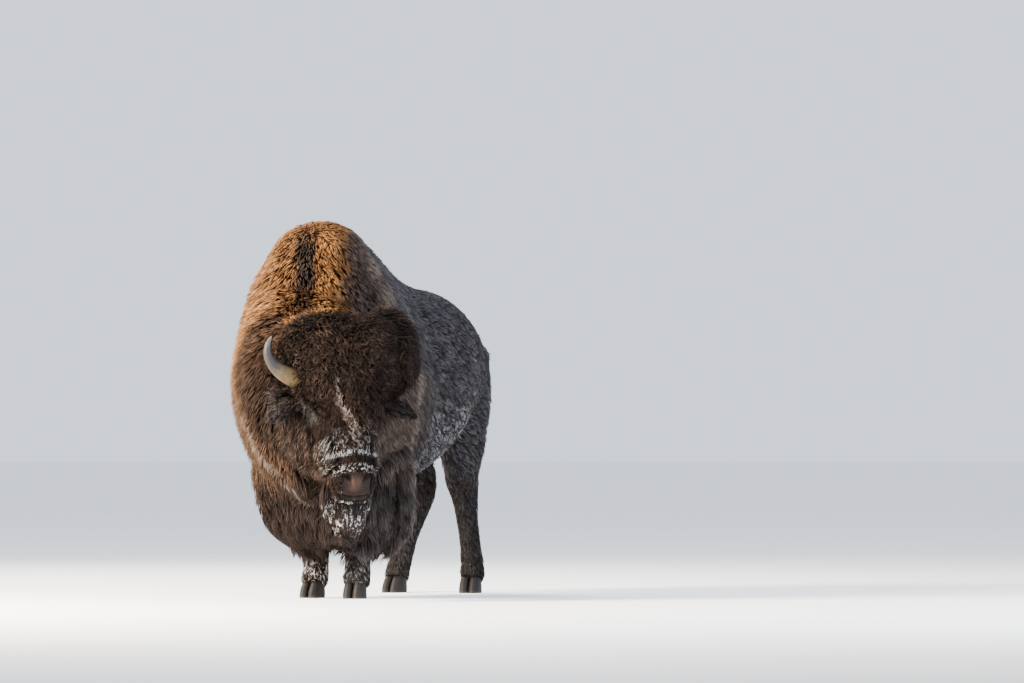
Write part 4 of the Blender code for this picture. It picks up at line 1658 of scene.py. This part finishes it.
def flank_lie(points, region):
    x, y, z = points.T
    rump = ease(y, 1.15, 1.45)
    low = ease(z, 1.0, 0.7)
    return ways(0.1 * np.tanh(x / 0.1), 1 - 0.65 * rump - 0.2 * low, -0.45 - 0.75 * rump)


def ear_lie(points, region):
    side = np.sign(head_places(points)[:, 0])[:, None]
    return TO_LEFT * side + TO_NOSE * 0.35 + TO_GROUND * 0.25


MOP = Style(
    length=(0.050, 0.085), width=0.0085, height=(0.35, 1.1), most=0.085, steps=5, sag=0.12, curl=1.35,
    curl_width=0.42, cling=0.45, spacing=5, pull=0.40, scatter=0.60, stretch=mop_stretch,
)
FACE = Style(
    length=(0.016, 0.028), width=0.0048, height=(0.3, 0.9), most=0.016, steps=2, sag=0.08, spacing=5,
    stretch=face_stretch, scatter=0.22,
)
CHEEK = Style(
    length=(0.070, 0.110), width=0.0065, height=(0.4, 1.0), most=0.070, least=0.055, sag=0.15, cling=0.3,
    spacing=6, pull=0.5, scatter=0.30, rise=1.0, stretch=cheek_stretch,
)
RUFF = Style(
    length=(0.055, 0.105), width=0.0085, height=(0.3, 1.0), most=0.085, sag=0.25, cling=0.6,
    scatter=0.30, curl=0.5, curl_width=0.12, taper=0.75,
)
BEARD = Style(
    length=(0.11, 0.20), width=0.009, height=(0.3, 1.0), most=0.05, steps=4, sag=0.5, cling=0.1,
    spacing=9, pull=0.70, scatter=0.25, curl=0.5, curl_width=0.10,
)
CAPE = Style(
    slot="brown_coat", length=(0.042, 0.070), width=0.0092, height=(0.58, 1.0), most=0.075, least=0.015,
    outside=0.0, steps=2, sag=0.12, spacing=8, scatter=0.15, pull=0.40,
)
BIB = Style(
    slot="dark_coat", length=(0.09, 0.16), width=0.0095, height=(0.35, 1.1), most=0.080, least=0.025,
    sag=0.40, cling=0.35, spacing=9, pull=0.70, scatter=0.22, curl=0.4, curl_width=0.07,
)
FLANK = Style(
    slot="brown_coat", length=(0.040, 0.066), width=0.0094, height=(0.4, 1.0), most=0.028, least=0.010,
    outside=0.0, steps=2, sag=0.05, scatter=0.15, pull=0.55,
)
LEGS = Style(
    slot="dark_coat", length=(0.026, 0.050), width=0.0062, height=(0.3, 1.0), most=0.016, least=0.010,
    outside=0.3, steps=2, spacing=6, scatter=0.24,
)
TAIL = Style(
    slot="dark_coat", length=(0.06, 0.12), height=(0.3, 1.0), most=0.032, steps=4, sag=0.4, cling=0.4,
    spacing=8, pull=0.7,
)
EARS = Style(
    length=(0.025, 0.055), width=0.006, height=(0.3, 1.0), most=0.012, sag=0.25, cling=0.6, spacing=6
)

# where each piece grows, which way it lies, and how many locks it has
COATS = {
    "coat_forelock": (forelock_share, mop_lie, 4600, MOP),
    "coat_crown": (crown_share, mop_lie, 5200, MOP),
    "coat_face": (face_share, face_lie, 14500, FACE),
    "coat_cheeks": (cheek_share, cheek_lie, 2200, CHEEK),
    "coat_ruff": (ruff_share, neck_drop, 8500, RUFF),
    "coat_beard": (in_beard, beard_lie, 3200, BEARD),
    "coat_ears": (ear_share, ear_lie, 1600, EARS),
    "coat_cape_left": (on_side("left", cape_share), cape_lie, 16500, CAPE),
    "coat_cape_right": (on_side("right", cape_share), cape_lie, 16500, CAPE),
    "coat_bib": (bib_share, bib_lie, 10500, BIB),
    "coat_flank_left": (on_side("left", flank_share), flank_lie, 10500, FLANK),
    "coat_flank_right": (on_side("right", flank_share), flank_lie, 10500, FLANK),
    "coat_legs": (leg_share, down_lie, 9500, LEGS),
    "coat_tail": (tail_share, down_lie, 1600, TAIL),
}


# ---------------------------------------------------------------- eyes, horns and feet
# side, along and out of the skull, and half the thickness there
HORN_ROWS = (
    (0.130, 0.050, -0.040, 0.050),
    (0.197, 0.052, -0.035, 0.0495),
    (0.240, 0.048, -0.030, 0.0480),
    (0.283, 0.035, -0.020, 0.0430),
    (0.326, 0.015, -0.005, 0.0350),
    (0.362, -0.016, 0.010, 0.0270),
    (0.382, -0.057, 0.025, 0.0210),
    (0.380, -0.097, 0.038, 0.0150),
    (0.366, -0.126, 0.047, 0.0080),
    (0.357, -0.138, 0.050, 0.0035),
)


def round_off(thing):
    fine = thing.modifiers.new("fine", "SUBSURF")
    fine.levels = fine.render_levels = 1


def take_mesh(name):
    """Takes the active object's mesh, in world places and facing outwards, and drops the object."""
    thing = bpy.context.active_object
    if bpy.context.mode != "OBJECT":
        bpy.ops.object.mode_set(mode="OBJECT")
    apply_modifiers(thing)
    mesh = thing.data
    mesh.transform(thing.matrix_world)
    mesh.name = name
    bpy.data.objects.remove(thing)
    form = bmesh.new()
    form.from_mesh(mesh)
    bmesh.ops.recalc_face_normals(form, faces=form.faces)
    form.to_mesh(mesh)
    form.free()
    return mesh


def make_eye(side, colours):
    """A ball with a slightly domed cornea, seated in the lids."""
    seat, look, _, _ = eye_axes(side)
    bpy.ops.object.select_all(action="DESELECT")
    turn = look.to_track_quat("Z", "Y").to_euler()
    place = {"location": seat, "rotation": turn}
    bpy.ops.mesh.primitive_uv_sphere_add(segments=48, ring_count=32, radius=EYE_RADIUS, **place)
    mesh = take_mesh(f"eye_{side}_looks")
    points = mesh_points(mesh)
    gap = points - np.array(seat)
    ahead = gap @ np.array(look)
    around = np.linalg.norm(gap - ahead[:, None] * np.array(look), axis=1)
    dome = 0.0012 * ease(around, IRIS_RADIUS, 0.008) * (ahead > 0)
    mesh.vertices.foreach_set("co", (points + np.array(look) * dome[:, None]).ravel())
    add_float(mesh, "iris", np.where(ahead > 0, around / IRIS_RADIUS, 2.0))
    finish = painted("bison_eye", eye_paint, colours)
    return add_piece(f"eye_{side}_looks", mesh, finish, "eye", f"eye_{side}")


def horn_path(side):
    """Places and radii from the skull out to the tip."""
    rows = eased(HORN_ROWS, 5)
    return [on_head(SIDES[side] * row[0], row[1], row[2]) for row in rows], [row[3] for row in rows]


def make_horn(side, shape, colours):
    """A tapered bent cone with growth rings and furrows towards its base."""
    path, radii = horn_path(side)
    curve = bpy.data.curves.new("horn", "CURVE")
    curve.dimensions = "3D"
    curve.bevel_depth = 1.0
    curve.bevel_resolution = 10
    curve.use_fill_caps = True
    line = curve.splines.new("POLY")
    line.points.add(len(path) - 1)
    for point, spot, radius in zip(line.points, path, radii):
        point.co = (*spot, 1)
        point.radius = radius * shape.thickness
    choose(new_object("horn_work", curve))
    bpy.ops.object.convert(target="MESH")
    round_off(bpy.context.active_object)
    mesh = take_mesh(f"horn_{side}_looks")
    points = mesh_points(mesh)
    spots = np.array(path)
    gaps = np.linalg.norm(points[:, None] - spots[None], axis=2)
    nearest = gaps.argmin(axis=1)
    along = nearest / (len(path) - 1)
    away = unit(points - spots[nearest])
    rings = 0.0011 * np.sin(along * math.tau * shape.rings) * ease(along, 0.55, 0.05)
    around = np.arctan2(away @ TO_LEFT, away @ TO_NOSE)
    furrows = 0.0007 * np.sin(around * 17 + 3 * along) * ease(along, 0.8, 0.1)
    mesh.vertices.foreach_set("co", (points + away * (rings + furrows)[:, None]).ravel())
    add_float(mesh, "along", along)
    finish = painted("bison_horn", horn_paint, colours)
    return add_piece(f"horn_{side}_looks", mesh, finish, "horn", f"horn_{side}")


# rise, the ring's width and depth against the last, and the step back
CLAW_ROWS = (
    (0.006, 1.03, 1.02, 0.0),
    (0.014, 1.0, 1.0, 0.001),
    (0.014, 0.97, 0.975, 0.002),
    (0.016, 0.95, 0.945, 0.004),
    (0.016, 0.94, 0.93, 0.005),
    (0.012, 0.96, 0.94, 0.004),
    (0.008, 0.84, 0.84, 0.003),
)
CLAW_BESIDE = 0.31  # a claw's middle from the foot's, against its width
CLAW_FACE = 0.0042  # its flat inner face from the foot's middle


def horn_of_foot(name, mesh, colours):
    finish = painted("bison_hoof", hoof_paint, colours)
    return add_piece(name, mesh, finish, "hoof", name.replace("_looks", ""))


def make_hoof(name, foot, claw, shape, colours):
    """One claw: a wall that slopes back over a flat sole, flat towards its neighbour."""
    x, y, turn = foot
    bpy.ops.object.select_all(action="DESELECT")
    spin = Matrix.Rotation(turn, 3, "Z")
    middle = Vector((x, y, 0)) + spin @ Vector((claw * (shape.width * CLAW_BESIDE + 0.005), -0.012, 0))
    size = (shape.width / 2, shape.length / 2, 1)
    place = {"location": middle, "rotation": (0, 0, turn)}
    bpy.ops.mesh.primitive_circle_add(vertices=28, radius=1, fill_type="NGON", **place)
    bpy.ops.object.mode_set(mode="EDIT")
    bpy.ops.transform.resize(value=size, orient_type="LOCAL", center_override=middle)
    for rise, wide, deep, back in CLAW_ROWS:
        step = spin @ Vector((0, back, rise))
        middle = middle + step
        bpy.ops.mesh.extrude_region_move(TRANSFORM_OT_translate={"value": step})
        bpy.ops.transform.resize(value=(wide, deep, 1), orient_type="LOCAL", center_override=middle)
    bpy.ops.object.mode_set(mode="OBJECT")
    thing = bpy.context.active_object
    heel = thing.matrix_world.to_3x3() @ Vector((0, 1, 0))
    bevel = thing.modifiers.new("sole_edge", "BEVEL")
    bevel.width, bevel.segments, bevel.limit_method, bevel.angle_limit = 0.003, 2, "ANGLE", math.radians(50)
    round_off(thing)
    mesh = take_mesh(name)
    points = mesh_points(mesh)
    local = points - np.array([x, y, 0])
    beside = local @ np.array(spin @ Vector((1, 0, 0))) * claw
    behind = local @ np.array(heel)
    moved = np.maximum(beside, CLAW_FACE) - beside
    pinch = 1 - 0.22 * ease(behind, 0.0, 0.07)
    shift = moved * claw + (beside + moved - shape.width * CLAW_BESIDE) * (pinch - 1) * claw
    points = points + shift[:, None] * np.array(spin @ Vector((1, 0, 0)))
    points[:, 2] = np.maximum(points[:, 2], 0.0)
    mesh.vertices.foreach_set("co", points.ravel())
    return horn_of_foot(name, mesh, colours)


def make_dewclaw(name, foot, claw, colours):
    """A blunt horny knob on the back of the pastern."""
    x, y, turn = foot
    spot = Vector((x, y, 0.118)) + Matrix.Rotation(turn, 3, "Z") @ Vector((claw * 0.026, 0.070, 0))
    bpy.ops.object.select_all(action="DESELECT")
    bpy.ops.mesh.primitive_uv_sphere_add(segments=20, ring_count=12, radius=0.014, location=spot)
    bpy.ops.object.mode_set(mode="EDIT")
    bpy.ops.transform.resize(value=(0.9, 0.85, 1.5), center_override=spot)
    bpy.ops.transform.rotate(value=math.radians(-14), orient_axis="X", center_override=spot)
    bpy.ops.object.mode_set(mode="OBJECT")
    return horn_of_foot(name, take_mesh(name), colours)


def feet():
    """Every claw: its name, its foot's place and turn, and which side of the foot it is on."""
    for side, s in SIDES.items():
        for end, (x, y), splay in (("front", FRONT_FEET[side], 0.10), ("hind", HIND_FEET[side], 0.16)):
            for claw, word in ((s, "outer"), (-s, "inner")):
                yield f"{end}_{side}_{word}", (x, y - 0.016, s * splay), claw


# ---------------------------------------------------------------- floor, light and camera
CAMERA_AZIMUTH = math.radians(24)
CAMERA_RANGE = 35.0
CAMERA_HEIGHT = 0.84
CAMERA_YAW = math.radians(1.44028)  # to the right of the line to between the front feet
CAMERA_TILT = math.radians(0.72434)  # upwards
CAMERA_LENS = 246.09375  # mm, as the sensor's width
SENSOR_WIDTH = 36


def make_floor(stage):
    bpy.ops.object.select_all(action="DESELECT")
    bpy.ops.mesh.primitive_circle_add(vertices=96, radius=stage.floor, fill_type="NGON", location=(0, 0, 0))
    floor = bpy.context.active_object
    floor.name = "floor"
    floor.data.materials.append(painted("floor_pale", floor_paint, None))
    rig.stage(floor)


def make_light(name, where, target, size, power, colour):
    lamp = bpy.data.lights.new(name, "AREA")
    lamp.shape = "DISK"
    lamp.size = size
    lamp.energy = power
    lamp.color = colour
    thing = new_object(name, lamp)
    thing.location = where
    thing.rotation_euler = (target - where).to_track_quat("-Z", "Y").to_euler()


def camera_level():
    """Level ways to the camera's right and ahead of it, before its yaw."""
    cos, sin = math.cos(CAMERA_AZIMUTH), math.sin(CAMERA_AZIMUTH)
    return Vector((cos, sin, 0)), Vector((-sin, cos, 0))


def make_stage(stage):
    make_floor(stage)
    world = bpy.data.worlds.new("pale_room")
    bpy.context.scene.world = world
    world.use_nodes = True
    s = Sheet(world.node_tree)
    backdrop = s.node("ShaderNodeBackground", {"Color": (0.82, 0.89, 1.0, 1), "Strength": stage.room})
    s.node("ShaderNodeOutputWorld", {"Surface": backdrop.outputs[0]})
    right, ahead = camera_level()
    middle = Vector((0, 0, 1.0))
    key = middle - right * 6.2 - ahead * 3.6 + UP * 3.0
    make_light("key", key, middle, 3.0, stage.key, (1.0, 0.86, 0.68))
    fill = middle + right * 6.0 - ahead * 5.0 + UP * 3.0
    make_light("fill", fill, middle, 5.0, stage.fill, (0.66, 0.80, 1.0))
    rim = middle - right * 2.0 + ahead * 6.0 + UP * 5.0
    make_light("rim", rim, middle, 3.0, stage.rim, (1.0, 0.94, 0.86))


def make_camera():
    _, ahead = camera_level()
    camera = bpy.data.cameras.new("camera")
    camera.lens = CAMERA_LENS
    camera.sensor_width = SENSOR_WIDTH
    thing = new_object("camera", camera)
    thing.location = UP * CAMERA_HEIGHT - ahead * CAMERA_RANGE - Vector((CENTRE.x, CENTRE.y, 0))
    look = Matrix.Rotation(-CAMERA_YAW, 3, "Z") @ ahead
    look = Matrix.Rotation(CAMERA_TILT, 3, look.cross(UP)) @ look
    thing.rotation_euler = look.to_track_quat("-Z", "Y").to_euler()
    bpy.context.scene.camera = thing


# ---------------------------------------------------------------- settings
def colour_value(name, description, value):
    return bpy.props.FloatVectorProperty(
        name=name, description=description, default=value, subtype="COLOR", size=3, min=0, max=1
    )


def number(name, description, value, **settings):
    return bpy.props.FloatProperty(name=name, description=description, default=value, **settings)


def whole_number(name, description, value, **settings):
    return bpy.props.IntProperty(name=name, description=description, default=value, **settings)


class BISON_PG_colours(bpy.types.PropertyGroup):
    cape: colour_value("Cape", "Hump and shoulders", (0.064, 0.0275, 0.0105))
    cape_tips: colour_value("Cape tips", "Ends of the cape's hair", (0.180, 0.090, 0.037))
    gold: colour_value("Gold", "The bright lobe beside the stripe", (0.115, 0.048, 0.015))
    gold_tips: colour_value("Gold tips", "Ends of the lobe's hair", (0.235, 0.108, 0.036))
    # Painted shade with frost: the greyer cape and shoulders on the bull's left front, away from the key light.
    far_cape: colour_value("Left cape", "The cape's frosted left side", (0.025, 0.0195, 0.0175))
    far_cape_tips: colour_value("Left cape tips", "Ends of the hair there", (0.070, 0.058, 0.054))
    shoulder: colour_value("Shoulder", "Below the cape", (0.032, 0.018, 0.011))
    shoulder_tips: colour_value("Shoulder tips", "Ends of the hair below the cape", (0.105, 0.062, 0.038))
    # Grey with a cool cast: partly frost, partly painted cool shade.
    flank: colour_value("Flank", "Ribs, loin and rump", (0.024, 0.0205, 0.021))
    flank_tips: colour_value("Flank tips", "Ends of the flank's fur", (0.066, 0.062, 0.067))
    dark: colour_value("Dark", "Legs, breeches, crest and tail", (0.009, 0.0058, 0.005))
    # Greyer than the dark hair: painted cool shade, used low down where the shaded mask or the rear is.
    legs: colour_value("Legs", "Legs below the breeches", (0.014, 0.0115, 0.011))
    legs_tips: colour_value("Legs tips", "Ends of the legs' fur", (0.046, 0.041, 0.042))
    dark_tips: colour_value("Dark tips", "Ends of the darkest hair", (0.032, 0.021, 0.017))
    head: colour_value("Head", "Mop, beard and ruff", (0.0040, 0.0023, 0.0017))
    head_tips: colour_value("Head tips", "Ends of the head's hair", (0.037, 0.0230, 0.0168))
    cheek: colour_value("Cheek", "Cheeks and throat", (0.011, 0.0068, 0.005))
    cheek_tips: colour_value("Cheek tips", "Ends of the cheeks' hair", (0.075, 0.050, 0.038))
    frost: colour_value("Frost", "Rime on the hair", (0.46, 0.46, 0.47))
    # Pale hair down the brow, and painted sunlit highlights on the edges of ruff and cape.
    cream: colour_value("Cream", "Sunlit ends at the edges of the ruff and cape", (0.205, 0.172, 0.148))
    pouch: colour_value("Pouch", "Grey fur behind and below the eye", (0.062, 0.057, 0.055))
    nose: colour_value("Nose", "Bare leather of nose and lips", (0.0115, 0.0078, 0.0066))
    # Painted sunlight on the leather between the nostrils.
    nose_brown: colour_value("Nose patch", "Paler leather between the nostrils", (0.040, 0.0235, 0.0165))
    eye: colour_value("Eye", "Iris", (0.0075, 0.0036, 0.0021))
    horn_base: colour_value("Horn base", "Where the horn leaves the hair", (0.082, 0.055, 0.025))
    horn: colour_value("Horn", "The horn's shaft", (0.020, 0.0185, 0.018))
    # Painted highlight on the horn's point.
    horn_tip: colour_value("Horn tip", "The horn's point", (0.095, 0.086, 0.076))
    hoof: colour_value("Hoof", "Hoof wall", (0.0095, 0.0075, 0.007))
    hoof_worn: colour_value("Worn hoof", "The hoof's worn edge", (0.035, 0.030, 0.026))


class BISON_PG_skin(bpy.types.PropertyGroup):
    voxel: number("Grain", "Size of the skin's faces before the face is refined", 0.0092, unit="LENGTH")
    share: number("Kept share", "Share of the body's faces kept under the coat", 0.30, subtype="FACTOR")


class BISON_PG_coat(bpy.types.PropertyGroup):
    fullness: number("Fullness", "Number of locks against the coat's own", 1.0, min=0.05, max=1.1)
    seed: whole_number("Seed", "Which of the many like coats is grown", 7, min=0)


class BISON_PG_horns(bpy.types.PropertyGroup):
    thickness: number("Thickness", "The horn's thickness against its own stations", 1.0, subtype="FACTOR")
    rings: whole_number("Rings", "Growth rings along the horn", 22, min=0, max=60)


class BISON_PG_feet(bpy.types.PropertyGroup):
    length: number("Hoof length", "From toe to heel", 0.135, unit="LENGTH")
    width: number("Claw width", "Across one claw", 0.064, unit="LENGTH")


class BISON_PG_stage(bpy.types.PropertyGroup):
    floor: number("Floor", "The floor's radius", 150.0, unit="LENGTH")
    room: number("Room light", "Soft light from all round", 1.5)
    key: number("Key", "Power of the warm light", 5600.0, unit="POWER")
    fill: number("Fill", "Power of the cool light", 1100.0, unit="POWER")
    rim: number("Rim", "Power of the light behind", 900.0, unit="POWER")


# ---------------------------------------------------------------- operators
class BISON_OT_skin(bpy.types.Operator):
    """Makes the skin in one piece, with lids, nostrils, lips and ears"""

    bl_idname = "bison.skin"
    bl_label = "Skin"

    def execute(self, context):
        scene = context.scene
        make_skin(scene.bison_skin, scene.bison_colours)
        return {"FINISHED"}


class BISON_OT_eyes(bpy.types.Operator):
    """Makes the two eyeballs"""

    bl_idname = "bison.eyes"
    bl_label = "Eyes"

    def execute(self, context):
        for side in SIDES:
            make_eye(side, context.scene.bison_colours)
        return {"FINISHED"}


class BISON_OT_horns(bpy.types.Operator):
    """Makes the two horns"""

    bl_idname = "bison.horns"
    bl_label = "Horns"

    def execute(self, context):
        scene = context.scene
        for side in SIDES:
            make_horn(side, scene.bison_horns, scene.bison_colours)
        return {"FINISHED"}


class BISON_OT_feet(bpy.types.Operator):
    """Makes the hooves and the dewclaws of all four feet"""

    bl_idname = "bison.feet"
    bl_label = "Hooves and dewclaws"

    def execute(self, context):
        scene = context.scene
        for name, foot, claw in feet():
            make_hoof(f"hoof_{name}_looks", foot, claw, scene.bison_feet, scene.bison_colours)
            make_dewclaw(f"dewclaw_{name}_looks", foot, claw, scene.bison_colours)
        return {"FINISHED"}


class CoatOperator:
    """Grows the named pieces of coat on the skin."""

    pieces = ()

    def execute(self, context):
        for name in self.pieces:
            grow(name, context.scene.bison_coat, context.scene.bison_colours)
        return {"FINISHED"}


class BISON_OT_head_coat(CoatOperator, bpy.types.Operator):
    """Grows the mop, face, ruff, beard and ears"""

    bl_idname = "bison.head_coat"
    bl_label = "Head's coat"
    pieces = tuple(name for name in COATS if COATS[name][-1].slot == "head_coat")


class BISON_OT_cape(CoatOperator, bpy.types.Operator):
    """Grows the cape over hump, neck and shoulders"""

    bl_idname = "bison.cape"
    bl_label = "Cape"
    pieces = ("coat_cape_left", "coat_cape_right")


class BISON_OT_bib(CoatOperator, bpy.types.Operator):
    """Grows the long hair of chest and forelegs"""

    bl_idname = "bison.bib"
    bl_label = "Bib and breeches"
    pieces = ("coat_bib",)


class BISON_OT_flanks(CoatOperator, bpy.types.Operator):
    """Grows the shorter fur of ribs, belly, rump and thighs"""

    bl_idname = "bison.flanks"
    bl_label = "Flanks"
    pieces = ("coat_flank_left", "coat_flank_right")


class BISON_OT_legs(CoatOperator, bpy.types.Operator):
    """Grows the short fur of the shanks, and the tail with its tuft"""

    bl_idname = "bison.legs"
    bl_label = "Shanks and tail"
    pieces = ("coat_legs", "coat_tail")


class BISON_OT_stage(bpy.types.Operator):
    """Adds floor, lights and camera"""

    bl_idname = "bison.stage"
    bl_label = "Floor, lights and camera"

    def execute(self, context):
        make_stage(context.scene.bison_stage)
        make_camera()
        return {"FINISHED"}


STEPS = ("skin", "eyes", "horns", "feet", "head_coat", "cape", "bib", "flanks", "legs", "stage")
GROUPS = ("skin", "coat", "horns", "feet", "colours", "stage")


class BISON_PT_panel(bpy.types.Panel):
    """The bison's sizes, colours and steps"""

    bl_idname = "BISON_PT_panel"
    bl_label = "Bison"
    bl_space_type = "VIEW_3D"
    bl_region_type = "UI"
    bl_category = "Bison"

    def draw(self, context):
        for group in GROUPS:
            box = self.layout.box()
            box.label(text=group.capitalize())
            settings = getattr(context.scene, f"bison_{group}")
            for name in settings.__annotations__:
                box.prop(settings, name)
        for step in STEPS:
            self.layout.operator(f"bison.{step}")


CLASSES = (
    BISON_PG_colours,
    BISON_PG_skin,
    BISON_PG_coat,
    BISON_PG_horns,
    BISON_PG_feet,
    BISON_PG_stage,
    BISON_OT_skin,
    BISON_OT_eyes,
    BISON_OT_horns,
    BISON_OT_feet,
    BISON_OT_head_coat,
    BISON_OT_cape,
    BISON_OT_bib,
    BISON_OT_flanks,
    BISON_OT_legs,
    BISON_OT_stage,
    BISON_PT_panel,
)


def register():
    for kind in CLASSES:
        bpy.utils.register_class(kind)
    for group in GROUPS:
        kind = globals()[f"BISON_PG_{group}"]
        setattr(bpy.types.Scene, f"bison_{group}", bpy.props.PointerProperty(type=kind))


def unregister():
    for group in GROUPS:
        delattr(bpy.types.Scene, f"bison_{group}")
    for kind in reversed(CLASSES):
        bpy.utils.unregister_class(kind)


def main():
    register()
    for step in STEPS:
        getattr(bpy.ops.bison, step)()
    sizes = {"cad": [list(c) for c in CAD_BOX], "visual": [list(c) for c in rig.bounds()]}
    with open("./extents.json", "w") as file:
        json.dump(sizes, file)


if __name__ == "__main__":
    main()
